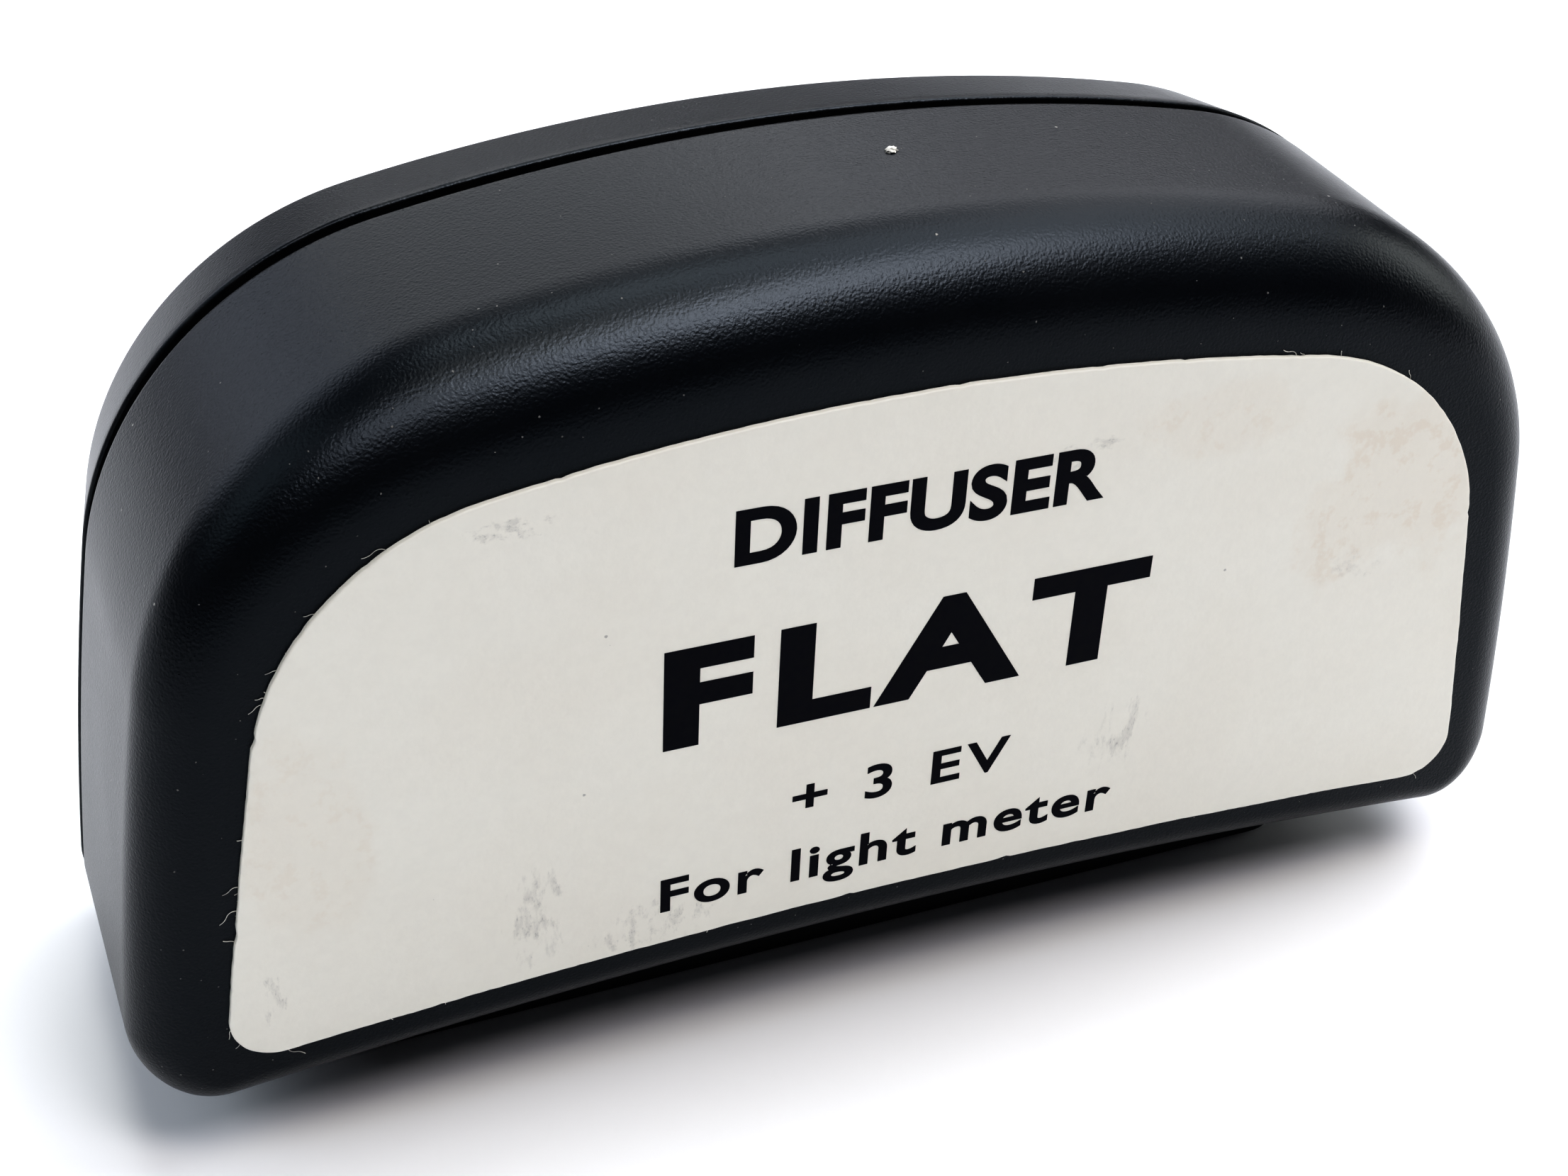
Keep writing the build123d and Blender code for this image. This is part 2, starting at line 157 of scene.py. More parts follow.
class ShellSizes(bpy.types.PropertyGroup):
    """Wall and edge sizes of the two mouldings."""
    wall: distance("Wall", "Thickness of the front shell", 1.6 * MM)
    top_round: distance("Top rounding", "Radius of the front edge along the top", 4.7 * MM)
    side_round: distance("Side rounding", "Radius of the front edge down the sides", 2.85 * MM)
    foot_round: distance("Foot rounding", "Radius of the front edge along the base", 1.8 * MM)
    rim_round: distance("Rim rounding", "Small radius on both sides of the shadow gap", 0.16 * MM)
    cover_taper: turn("Cover taper", "Slant of the cover's side wall", 10.5)
    cover_round: distance("Cover rounding", "Radius of the cover's rear edge", 0.9 * MM)
    rear_wall: distance("Rear wall", "Thickness of the cover round the window", 1.8 * MM)
    fit: distance("Fit", "Gap between the light-trap tongue and the shell", 0.15 * MM)
    tongue: distance("Tongue", "Thickness of the light-trap tongue", 1.0 * MM)
    boss: distance("Boss", "Radius of the screw bosses", 2.4 * MM)
    thread_bore: distance("Thread bore", "Radius of the bores that the screws cut into", 1.0 * MM)
    shank_bore: distance("Shank bore", "Radius of the clearance bores in the cover", 1.15 * MM)
    head_pocket: distance("Head pocket", "Radius of the pockets for the screw heads", 1.9 * MM)
    collar_width: distance("Collar width", "Width of the plug below the body", 52 * MM)
    collar_corner: distance("Collar corner", "Corner radius of the plug", 2.5 * MM)
    passage: distance("Passage gap", "Gap round the plug where it leaves the base", 0.2 * MM)


class FittingSizes(bpy.types.PropertyGroup):
    """Sizes of the windows, screws and sprung detents."""
    window_lip: distance("Window lip", "Width of the step round the window plate", 2.0 * MM)
    window_step: distance("Window step", "Thickness of the window plate's lip", 0.9 * MM)
    window_gap: distance("Window gap", "Gap round the window plate", 0.2 * MM)
    head: distance("Screw head", "Radius of a screw head", 1.7 * MM)
    head_height: distance("Head height", "Height of a screw head", 1.2 * MM)
    head_sink: distance("Head sink", "Depth of a screw head below the rear face", 0.2 * MM)
    shank: distance("Shank", "Radius of a screw's shank", 0.95 * MM)
    recess: distance("Recess", "Length of one bar of the cross recess", 2.0 * MM)
    recess_width: distance("Recess width", "Width of one bar of the cross recess", 0.45 * MM)
    nose: distance("Plunger nose", "Radius of a detent's nose", 0.95 * MM)
    spring: distance("Spring", "Radius of a detent spring's coil", 0.95 * MM)
    wire: distance("Wire", "Radius of the spring wire", 0.13 * MM)
    spring_turns: FloatProperty(name="Spring turns", description="Turns of a detent spring", default=4.5)
    plunge: distance("Plunge", "How far a detent is pushed in at the end of its travel", 0.8 * MM)


class Print(bpy.types.PropertyGroup):
    """Wording of the label, from the top line down."""
    title: StringProperty(name="Title", description="First line", default="DIFFUSER")
    kind: StringProperty(name="Kind", description="Large second line", default="FLAT")
    value: StringProperty(name="Value", description="Light loss of the window", default="+ 3 EV")
    use: StringProperty(name="Use", description="Last line", default="For light meter")
    ink: distance("Ink", "Height of the print above the label", 0.015 * MM)


class Finishes(bpy.types.PropertyGroup):
    """Colours of the finishes."""
    plastic: colour("Body plastic", "Black of the two mouldings", (0.0020, 0.0030, 0.0050))
    rubbed: colour("Rubbed plastic", "Tone of plastic that hands have rubbed", (0.010, 0.010, 0.011))
    plug: colour("Plug plastic", "Black of the plug moulding", (0.010, 0.010, 0.011))
    dust: colour("Dust", "Specks that have settled on the body", (0.34, 0.33, 0.31))
    label: colour("Label", "Ground of the printed label", (0.80, 0.785, 0.72))
    stain: colour("Stain", "Yellowed patches of the label", (0.70, 0.62, 0.52))
    smudge: colour("Smudge", "Grey rubbed on to the label", (0.20, 0.20, 0.20))
    ink: colour("Ink", "Print on the label", (0.0035, 0.004, 0.008))
    opal: colour("Opal", "Diffuser window", (0.46, 0.46, 0.44))
    white: colour("White plastic", "Mixing chamber", (0.80, 0.80, 0.78))
    grey: colour("Grey filter", "Neutral filter", (0.16, 0.16, 0.165))
    clear: colour("Clear plastic", "Exit window", (0.94, 0.95, 0.96))
    steel: colour("Steel", "Springs, clips and plungers", (0.60, 0.59, 0.57))
    foam: colour("Foam", "Light-trap foam", (0.012, 0.012, 0.012))
    floor: colour("Floor", "Surface that the attachment stands on", (0.90, 0.90, 0.92))


class Stage(bpy.types.PropertyGroup):
    """Camera, lights and floor."""
    camera_place: FloatVectorProperty(name="Camera place", description="Where the camera stands",
                                      default=(-0.03963, -0.0865, 0.0825), subtype="TRANSLATION")
    camera_turn: FloatVectorProperty(name="Camera turn", description="Euler angles of the camera",
                                     default=(radians(55.609), radians(-2.343), radians(-21.994)),
                                     subtype="EULER")
    lens: FloatProperty(name="Lens", description="Focal length in millimetres", default=55.35, min=1)
    floor_size: distance("Floor size", "Side of the square floor", 6.0)
    sky: FloatProperty(name="Sky", description="Strength of the even light", default=0.05, min=0)
    panel_gain: FloatProperty(name="Panel gain", description="Factor on every soft panel", default=1.0, min=0)
    panel_distance: distance("Panel distance", "Distance of the soft panels from the body", 0.60)


# Soft panels: compass angle from the rear towards +X and height above the floor in degrees,
# diameter in metres, radiance and tint; a glint panel shows in reflections only
PANELS = (
    ("front_top", 180, 76, 0.20, 5.0, (1.0, 0.93, 0.80)),
    ("front_right", 148, 60, 0.22, 6.2, (1.0, 0.95, 0.98)),
    ("rear_top", 10, 74, 0.24, 6.0, (0.93, 0.98, 1.0)),
    ("right", 80, 60, 0.42, 3.8, (0.92, 0.95, 1.0)),
    ("right_low", 90, 20, 0.32, 2.8, (0.98, 1.0, 0.96)),
    ("left", 270, 38, 0.36, 1.7, (0.82, 0.94, 1.0)),
    ("rear_left", 322, 28, 0.46, 2.1, (0.86, 0.90, 1.0)),
    ("rear", 5, 32, 0.42, 1.6, (0.97, 0.98, 1.0)),
    ("rear_right", 42, 34, 0.44, 1.75, (0.96, 0.96, 1.0)),
    ("glint", 165, 59, 0.22, 17.0, (0.97, 0.95, 1.0)),
    ("glint_right", 122, 60, 0.22, 11.0, (0.97, 0.95, 1.0)),
    ("glint_left", 212, 52, 0.22, 10.0, (0.97, 0.95, 1.0)),
)

# Lines of print: setting, edges in millimetres (left, right, base, top), weight and letter spacing
LINES = (
    ("title", (-8.6, 8.6, 27.1, 29.9), 0.036, 1.05),
    ("kind", (-11.6, 11.6, 18.25, 23.5), 0.04, 1.22),
    ("value", (-5.4, 5.4, 12.95, 14.9), 0.018, 1.2),
    ("use", (-11.6, 11.2, 8.45, 10.95), 0.022, 1.12),
)

# Stains of the label: centre and reach in millimetres, and strength
LABEL_STAINS = (
    ((25.0, -10.2, 24.0), (9.0, 4.0, 9.0), 0.55),
    ((14.0, -10.2, 30.0), (7.0, 4.0, 4.0), 0.35),
    ((-27.0, -10.2, 18.0), (5.0, 4.0, 9.0), 0.30),
)

# Smudges of the label: centre and reach in millimetres, streak, cover and strength
LABEL_SMUDGES = (
    ((-17.5, -10.2, 10.5), (2.4, 4.0, 6.0), (2.2, 1.0, 0.9), 0.85, 0.55),
    ((-12.0, -10.2, 8.6), (5.5, 4.0, 2.6), (2.6, 1.0, 1.4), 0.85, 0.50),
    ((11.2, -10.2, 13.5), (3.2, 4.0, 4.6), (2.0, 1.0, 0.7), 0.80, 0.55),
    ((-18.0, -10.2, 31.0), (3.4, 4.0, 1.2), (1.8, 1.0, 2.4), 0.85, 0.55),
    ((7.5, -10.2, 29.5), (3.4, 4.0, 1.6), (1.4, 1.0, 2.6), 0.80, 0.50),
    ((-29.0, -10.2, 9.5), (0.9, 4.0, 2.6), (3.0, 1.0, 1.2), 0.80, 0.50),
    ((22.5, -10.2, 20.5), (3.0, 4.0, 1.8), (1.6, 1.0, 1.8), 0.80, 0.30),
)


# ---------------------------------------------------------------- mesh building
def spin_arc(bm, vert, tilt, radius, angle, steps, hollow=False):
    """Spin an arc on from vert; tilt is the outward normal's angle from +Z towards +X.

    Returns the arc's last vert and the tilt there.
    """
    sign = -1 if hollow else 1
    centre = vert.co - sign * radius * Vector((sin(tilt), 0, cos(tilt)))
    swept = bmesh.ops.spin(bm, geom=[vert], cent=centre, axis=(0, 1, 0), angle=sign * angle, steps=steps)
    last = [item for item in swept["geom_last"] if isinstance(item, bmesh.types.BMVert)]
    return last[0], tilt + sign * angle


def draw_outline(bm, form, crown_z, steps):
    """Ring of verts round an arched outline across the body, from the crown towards +X and round."""
    vert = bm.verts.new((0, 0, crown_z))
    vert, tilt = spin_arc(bm, vert, 0, form.top_radius, form.top_turn, steps[0])
    vert, tilt = spin_arc(bm, vert, tilt, form.corner_radius, form.corner_turn, steps[1])
    vert, tilt = spin_arc(bm, vert, tilt, form.side_radius, form.side_turn, steps[2])
    foot_x = vert.co.x - form.foot_radius * sin(tilt)
    arch_turn = asin(foot_x / (form.arch_radius + form.foot_radius))
    vert, tilt = spin_arc(bm, vert, tilt, form.foot_radius, pi + arch_turn - tilt, steps[3])
    vert, tilt = spin_arc(bm, vert, tilt, form.arch_radius, arch_turn, steps[4], hollow=True)
    vert.co.x = 0
    bmesh.ops.mirror(bm, geom=bm.verts[:] + bm.edges[:], merge_dist=1e-6, axis="X")
    bmesh.ops.remove_doubles(bm, verts=bm.verts, dist=1e-6)
    crown = max(bm.verts, key=lambda v: v.co.z)
    ring = [crown, max((e.other_vert(crown) for e in crown.link_edges), key=lambda v: v.co.x)]
    while len(ring) < len(bm.verts):
        ring.append(next(e.other_vert(ring[-1]) for e in ring[-1].link_edges
                         if e.other_vert(ring[-1]) is not ring[-2]))
    return ring


def ring_normals(ring):
    """Outward normal of the ring at each of its verts."""
    found = []
    for i, vert in enumerate(ring):
        back = vert.co - ring[i - 1].co
        on = ring[(i + 1) % len(ring)].co - vert.co
        along = back.normalized() * on.length + on.normalized() * back.length
        found.append(Vector((-along.z, 0, along.x)).normalized())
    return found


def extrude_ring(bm, ring):
    """Extrude the ring's edges and return the new ring, in the same order."""
    edges = [bm.edges.get((vert, ring[(i + 1) % len(ring)])) for i, vert in enumerate(ring)]
    made = bmesh.ops.extrude_edge_only(bm, edges=edges)["geom"]
    fresh = {item for item in made if isinstance(item, bmesh.types.BMVert)}
    return [next(e.other_vert(vert) for e in vert.link_edges if e.other_vert(vert) in fresh)
            for vert in ring]


def loft_sections(bm, ring, sections, rounds):
    """Closed skin through sections of the ring's outline.

    A section is (inset, y, round_inset, round_y, wear): a vert is pulled in by inset plus round_inset
    times its own entry in rounds, and stands at y plus round_y times that entry.
    """
    wear_layer = bm.verts.layers.float["wear"]
    normals = ring_normals(ring)
    base = [vert.co.copy() for vert in ring]
    first = ring
    for number, (inset, y, round_inset, round_y, wear) in enumerate(sections):
        if number:
            ring = extrude_ring(bm, ring)
        for vert, start, normal, radius in zip(ring, base, normals, rounds):
            vert.co = start - normal * (inset + round_inset * radius)
            vert.co.y = y + round_y * radius
            vert[wear_layer] = wear
    bm.faces.new(first)
    bm.faces.new(ring)
    bmesh.ops.recalc_face_normals(bm, faces=bm.faces)


def outlined_mesh():
    """New bmesh with a layer for edge wear."""
    bm = bmesh.new()
    bm.verts.layers.float.new("wear")
    return bm


def bevel(bm, edges, offset, segments=3, clamp=False):
    """Round edges and return the faces that this makes."""
    return bmesh.ops.bevel(bm, geom=edges, offset=offset, segments=segments, profile=0.5, affect="EDGES",
                           material=-1, clamp_overlap=clamp)["faces"]


def bevel_where(bm, test, offset, segments=3):
    """Round the edges whose two ends both pass the test."""
    bevel(bm, [e for e in bm.edges if test(e.verts[0].co) and test(e.verts[1].co)], offset, segments)


def rotate(bm, degrees, axis, verts):
    """Turn verts about an axis through the origin."""
    bmesh.ops.rotate(bm, cent=(0, 0, 0), matrix=Matrix.Rotation(radians(degrees), 3, axis), verts=verts)


def close_ends(bm):
    """Cap the open ends of tubes and turn every normal outwards."""
    bmesh.ops.holes_fill(bm, edges=[e for e in bm.edges if e.is_boundary], sides=0)
    bmesh.ops.recalc_face_normals(bm, faces=bm.faces)


def add_block(bm, low, high, corner=0.0, rim=0.0, axis=2):
    """Box from low to high; corner rounds the edges along axis, and rim the edges of its two ends."""
    made = bmesh.ops.create_cube(bm, size=1)["verts"]
    bmesh.ops.scale(bm, vec=high - low, verts=made)
    bmesh.ops.translate(bm, vec=(low + high) / 2, verts=made)
    along = Vector([1.0 if i == axis else 0.0 for i in range(3)])
    if corner:
        edges = {e for v in made for e in v.link_edges}
        upright = [e for e in edges if abs((e.verts[0].co - e.verts[1].co).dot(along)) > 1e-6]
        made = list({v for f in bevel(bm, upright, corner, 8) for v in f.verts})
    if rim:
        bm.normal_update()
        faces = {f for v in made for f in v.link_faces if abs(f.normal.dot(along)) > 0.99}
        bevel(bm, list({e for f in faces for e in f.edges}), rim)


def add_pins(bm, places, low_y, high_y, radius, segments=40):
    """Closed cylinder along Y at each (x, z) place."""
    for x, z in places:
        stand = Matrix.Translation((x, (low_y + high_y) / 2, z)) @ Matrix.Rotation(radians(90), 4, "X")
        bmesh.ops.create_cone(bm, cap_ends=True, segments=segments, radius1=radius, radius2=radius,
                              depth=high_y - low_y, matrix=stand)


def lathe(bm, profile, centre, axis, steps=48):
    """Closed body spun from a profile whose two ends lie on the axis."""
    verts = [bm.verts.new(point) for point in profile]
    edges = [bm.edges.new(pair) for pair in zip(verts, verts[1:])]
    bmesh.ops.spin(bm, geom=verts + edges, cent=centre, axis=axis, angle=2 * pi, steps=steps,
                   use_merge=True)
    bmesh.ops.remove_doubles(bm, verts=bm.verts, dist=1e-7)
    bmesh.ops.recalc_face_normals(bm, faces=bm.faces)


def mesh_from(bm, name):
    """Mesh of a bmesh, which is freed."""
    mesh = bpy.data.meshes.new(name)
    bm.to_mesh(mesh)
    bm.free()
    return mesh


def add_object(name, data):
    """New object in the scene."""
    item = bpy.data.objects.new(name, data)
    bpy.context.scene.collection.objects.link(item)
    return item


def carve(bm, tool, operation="DIFFERENCE"):
    """bmesh of the first cut by, or joined with, the second; both are freed."""
    items = [add_object("carve", mesh_from(part, "carve")) for part in (bm, tool)]
    step = items[0].modifiers.new("carve", "BOOLEAN")
    step.object = items[1]
    step.operation = operation
    step.solver = "EXACT"
    cut = bmesh.new()
    cut.from_object(items[0], bpy.context.evaluated_depsgraph_get())
    for item in items:
        bpy.data.meshes.remove(item.data)
    return cut


def merged_copy(node):
    """bmesh of a frame node with its loose triangles merged into one skin."""
    bm = bmesh.new()
    bm.from_mesh(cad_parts[node].data)
    bmesh.ops.remove_doubles(bm, verts=bm.verts, dist=1e-6)
    return bm


def islands(bm):
    """Groups of verts that hang together."""
    left = set(bm.verts)
    found = []
    while left:
        front = [left.pop()]
        patch = []
        while front:
            vert = front.pop()
            patch.append(vert)
            near = {e.other_vert(vert) for e in vert.link_edges} & left
            left -= near
            front.extend(near)
        found.append(patch)
    return found


def screw_places():
    """(x, z) of each cover screw, and the depth of the screws' tips and heads."""
    bm = merged_copy("cover_screws")
    places = []
    for patch in islands(bm):
        xs = [v.co.x for v in patch]
        zs = [v.co.z for v in patch]
        places.append(((min(xs) + max(xs)) / 2, (min(zs) + max(zs)) / 2))
    tip = min(v.co.y for v in bm.verts)
    head = max(v.co.y for v in bm.verts)
    bm.free()
    return sorted(places), tip, head


def finish_piece(bm, name, material, replaces=(), body="housing"):
    """Turn a bmesh into a finished piece that rides on a body and stands for CAD nodes."""
    for face in bm.faces:
        face.smooth = True
    for edge in bm.edges:
        edge.smooth = len(edge.link_faces) == 2 and edge.calc_face_angle(0) < radians(32)
    piece = add_object(name, mesh_from(bm, name))
    piece.data.materials.append(material_once(material))
    weights = piece.modifiers.new("Weighted normals", "WEIGHTED_NORMAL")
    weights.keep_sharp = True
    weights.weight = 90
    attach(piece, body)
    if replaces:
        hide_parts(*replaces)
    return piece


def passage_tool(shell):
    """Block that clears the way for the plug through the base of a moulding."""
    half = Vector((shell.collar_width / 2 + shell.passage, plug_high.y + shell.passage, 0))
    tool = bmesh.new()
    add_block(tool, Vector((0, 0, -MM)) - half, Vector((0, 0, tube_gasket_high.z)) + half,
              corner=shell.collar_corner)
    return tool


# ---------------------------------------------------------------- material building
def fill(tree, sockets, values):
    """Set sockets to values, or link them to other sockets."""
    for key, value in values.items():
        if isinstance(value, bpy.types.NodeSocket):
            tree.links.new(value, sockets[key])
        else:
            sockets[key].default_value = value


def add(tree, kind, inputs=None, **settings):
    """New node with its settings and inputs."""
    node = tree.nodes.new(kind)
    for key, value in settings.items():
        setattr(node, key, value)
    fill(tree, node.inputs, inputs or {})
    return node


def maths(tree, operation, first, second=0.0, clamp=False):
    """Output of a Math node."""
    return add(tree, "ShaderNodeMath", {0: first, 1: second}, operation=operation,
               use_clamp=clamp).outputs[0]


def times(tree, first, second):
    """Product of two values."""
    return maths(tree, "MULTIPLY", first, second)


def vary(tree, base, mask, gain, clamp=False):
    """A base value plus a mask times its gain."""
    return maths(tree, "ADD", base, times(tree, mask, gain), clamp)


def vectors(tree, operation, first, second):
    """Vector output of a Vector Math node."""
    return add(tree, "ShaderNodeVectorMath", {0: first, 1: second}, operation=operation).outputs[0]


def length_of(tree, vector):
    """Length of a vector."""
    return add(tree, "ShaderNodeVectorMath", {0: vector}, operation="LENGTH").outputs["Value"]


def clouds(tree, place, scale, detail, roughness=0.5):
    """Outputs of a noise texture."""
    return add(tree, "ShaderNodeTexNoise", {"Vector": place, "Scale": scale, "Detail": detail,
                                            "Roughness": roughness}).outputs


def tint(tree, mask, share, first, second):
    """Colour that a mask times its share takes from the first towards the second."""
    mix = add(tree, "ShaderNodeMix", {0: times(tree, mask, share)}, data_type="RGBA")
    ends = {key: tone if isinstance(tone, bpy.types.NodeSocket) else (*tone, 1)
            for key, tone in ((6, first), (7, second))}
    fill(tree, mix.inputs, ends)
    return mix.outputs[2]


def ramp_between(tree, value, low, high):
    """Smooth step of a value from 0 at low to 1 at high."""
    return add(tree, "ShaderNodeMapRange", {"Value": value, "From Min": low, "From Max": high},
               interpolation_type="SMOOTHSTEP").outputs["Result"]


def new_group(name, outputs, **inputs):
    """Empty shader group with a Vector and the given inputs; every output is a value."""
    tree = bpy.data.node_groups.new(name, "ShaderNodeTree")
    for label, default in {"Vector": (0, 0, 0), **inputs}.items():
        kind = "NodeSocketVector" if isinstance(default, tuple) else "NodeSocketFloat"
        tree.interface.new_socket(label, in_out="INPUT", socket_type=kind).default_value = default
    for label in outputs:
        tree.interface.new_socket(label, in_out="OUTPUT", socket_type="NodeSocketFloat")
    return tree, tree.nodes.new("NodeGroupInput").outputs, tree.nodes.new("NodeGroupOutput").inputs


def build_grain(name):
    """Pebbled surface of a spark-eroded mould."""
    tree, given, out = new_group(name, ["Height", "Glint"], Size=0.16)
    pitch = maths(tree, "DIVIDE", 1.0, given["Size"])
    pebbles = add(tree, "ShaderNodeTexVoronoi", {"Vector": given["Vector"], "Scale": pitch,
                                                 "Smoothness": 0.6}, feature="SMOOTH_F1")
    rough = clouds(tree, given["Vector"], pitch, 3.0, 0.6)["Fac"]
    domes = maths(tree, "SUBTRACT", 1.0, pebbles.outputs["Distance"])
    tree.links.new(vary(tree, times(tree, domes, 0.5), rough, 0.9), out["Height"])
    tree.links.new(ramp_between(tree, rough, 0.55, 0.8), out["Glint"])
    return tree


def build_mottle(name):
    """Slow variation of tone over a surface, from 0 to 1."""
    tree, given, out = new_group(name, ["Mask"], Size=6.0)
    cloud = clouds(tree, given["Vector"], maths(tree, "DIVIDE", 1.0, given["Size"]), 5.0, 0.62)["Fac"]
    tree.links.new(ramp_between(tree, cloud, 0.3, 0.7), out["Mask"])
    return tree


def build_dust(name):
    """Scattered specks."""
    tree, given, out = new_group(name, ["Mask"], Spacing=1.2, Speck=0.06, Share=0.5)
    wobble = clouds(tree, given["Vector"], 14.0, 2.0)["Color"]
    place = vectors(tree, "ADD", given["Vector"], vectors(tree, "MULTIPLY", wobble, (0.07, 0.07, 0.07)))
    pitch = maths(tree, "DIVIDE", 1.0, given["Spacing"])
    cells = add(tree, "ShaderNodeTexVoronoi", {"Vector": place, "Scale": pitch}).outputs
    chance = add(tree, "ShaderNodeSeparateColor", {"Color": cells["Color"]}).outputs
    radius = times(tree, given["Speck"], maths(tree, "ADD", chance["Green"], 0.35))
    reach = maths(tree, "DIVIDE", times(tree, cells["Distance"], given["Spacing"]), radius)
    near = maths(tree, "SUBTRACT", 1.0, reach, clamp=True)
    kept = maths(tree, "LESS_THAN", chance["Red"], given["Share"])
    tree.links.new(times(tree, ramp_between(tree, near, 0.0, 0.45), kept), out["Mask"])
    return tree


def build_smudge(name):
    """Broken, streaky patch round a centre, strongest in its middle."""
    tree, given, out = new_group(name, ["Mask"], Centre=(0, 0, 0), Reach=(5, 5, 5), Streak=(1, 1, 1),
                                 Cover=0.5)
    offset = vectors(tree, "SUBTRACT", given["Vector"], given["Centre"])
    away = length_of(tree, vectors(tree, "DIVIDE", offset, given["Reach"]))
    fade = ramp_between(tree, away, 1.0, 0.15)
    place = vectors(tree, "MULTIPLY", given["Vector"], given["Streak"])
    cloud = clouds(tree, place, 0.7, 4.0, 0.65)["Fac"]
    flecks = clouds(tree, place, 4.5, 3.0, 0.6)["Fac"]
    bar = vary(tree, 0.70, times(tree, fade, given["Cover"]), -0.3)
    film = ramp_between(tree, maths(tree, "SUBTRACT", cloud, bar), 0.0, 0.2)
    dots = times(tree, ramp_between(tree, flecks, 0.52, 0.66), film)
    both = vary(tree, times(tree, film, 0.4), dots, 0.6)
    tree.links.new(times(tree, both, ramp_between(tree, fade, 0.0, 0.5)), out["Mask"])
    return tree


def use_group(tree, name, build, **inputs):
    """Outputs of a group, built once and placed with its own values."""
    node = add(tree, "ShaderNodeGroup", node_tree=bpy.data.node_groups.get(name) or build(name))
    fill(tree, node.inputs, inputs)
    return node.outputs


def eroded_grain(tree, place, size):
    """Height and glint of a mould's grain."""
    return use_group(tree, "Eroded grain", build_grain, Vector=place, Size=size)


def mottle(tree, place, size):
    """Slow clouds from 0 to 1."""
    return use_group(tree, "Mottle", build_mottle, Vector=place, Size=size)["Mask"]


def settled_dust(tree, place, spacing, speck, share):
    """Specks of a size, of which a share is there."""
    return use_group(tree, "Settled dust", build_dust, Vector=place, Spacing=spacing, Speck=speck,
                     Share=share)["Mask"]


def smudge(tree, place, centre, reach, streak, cover):
    """Broken patch round a centre."""
    return use_group(tree, "Smudge", build_smudge, Vector=place, Centre=centre, Reach=reach,
                     Streak=streak, Cover=cover)["Mask"]


def start_material(name, **constants):
    """Material with a Principled BSDF, and the object's coordinates in millimetres."""
    material = bpy.data.materials.new(name)
    material.use_nodes = True
    tree = material.node_tree
    shader = tree.nodes["Principled BSDF"]
    fill(tree, shader.inputs, {key.replace("_", " "): value for key, value in constants.items()})
    coords = add(tree, "ShaderNodeTexCoord").outputs["Object"]
    place = add(tree, "ShaderNodeVectorMath", {0: coords, "Scale": 1 / MM}, operation="SCALE").outputs[0]
    return material, tree, shader, place


def set_surface(tree, shader, tone, rough, height=None, depth=0.0):
    """Link a surface's colour, roughness and relief; depth is the relief's height in metres."""
    fill(tree, shader.inputs, {"Base Color": tone, "Roughness": rough})
    if height is not None:
        bump = add(tree, "ShaderNodeBump", {"Strength": 1.0, "Distance": depth, "Height": height})
        tree.links.new(bump.outputs["Normal"], shader.inputs["Normal"])


def material_once(build):
    """The material named after its function, built from the scene's finishes if it isn't there."""
    name = build.__name__.replace("_", " ").capitalize()
    return bpy.data.materials.get(name) or build(name, bpy.context.scene.diffuser_finishes)


def plain_finish(name, tones, cloud, rough, grain=None, dust=None, **constants):
    """Finish of one tone clouded with another, with optional grain and specks.

    cloud is (size, share), rough (base, gain), grain (size, depth), and dust (spacing, speck, share,
    strength, tone); sizes are in millimetres.
    """
    material, tree, shader, place = start_material(name, **constants)
    size, share = cloud
    mask = mottle(tree, place, size)
    tone = tint(tree, mask, share, *tones)
    if dust:
        tone = tint(tree, settled_dust(tree, place, *dust[:3]), dust[3], tone, dust[4])
    rough = vary(tree, rough[0], mask, rough[1])
    if grain:
        set_surface(tree, shader, tone, rough, eroded_grain(tree, place, grain[0])["Height"], grain[1] * MM)
    else:
        set_surface(tree, shader, tone, rough)
    return material


# ---------------------------------------------------------------- finishes
def moulded_plastic(name, tone, finish, grain_size, grain_depth, base_roughness):
    """Black plastic with eroded grain, hand wear and settled dust."""
    material, tree, shader, place = start_material(name, Specular_IOR_Level=0.17,
                                                   Specular_Tint=(0.80, 0.91, 1.0, 1.0))
    grain = eroded_grain(tree, place, grain_size)
    cloud = mottle(tree, place, 7.0)
    specks = settled_dust(tree, place, 1.7, 0.07, 0.6)
    motes = settled_dust(tree, place, 0.8, 0.045, 0.8)
    wear = add(tree, "ShaderNodeAttribute", attribute_name="wear").outputs["Fac"]
    rubbed_edges = times(tree, wear, mottle(tree, place, 0.9))
    worn = vary(tree, rubbed_edges, cloud, 0.20, clamp=True)
    dusty = maths(tree, "MAXIMUM", specks, times(tree, motes, 0.45))
    body = tint(tree, worn, 1.0, tone, finish.rubbed)
    body = tint(tree, dusty, 1.0, body, finish.dust)
    rough = vary(tree, base_roughness, cloud, 0.02)
    rough = vary(tree, rough, grain["Glint"], -0.05)
    rough = vary(tree, rough, dusty, 0.4, clamp=True)
    set_surface(tree, shader, body, rough, vary(tree, grain["Height"], dusty, 2.0), grain_depth)
    return material


def body_plastic(name, finish):
    """Black ABS of the two mouldings."""
    return moulded_plastic(name, finish.plastic, finish, 0.14, 0.019 * MM, 0.29)


def plug_plastic(name, finish):
    """Smoother black plastic of the plug and the inner frames."""
    return moulded_plastic(name, finish.plug, finish, 0.09, 0.003 * MM, 0.36)


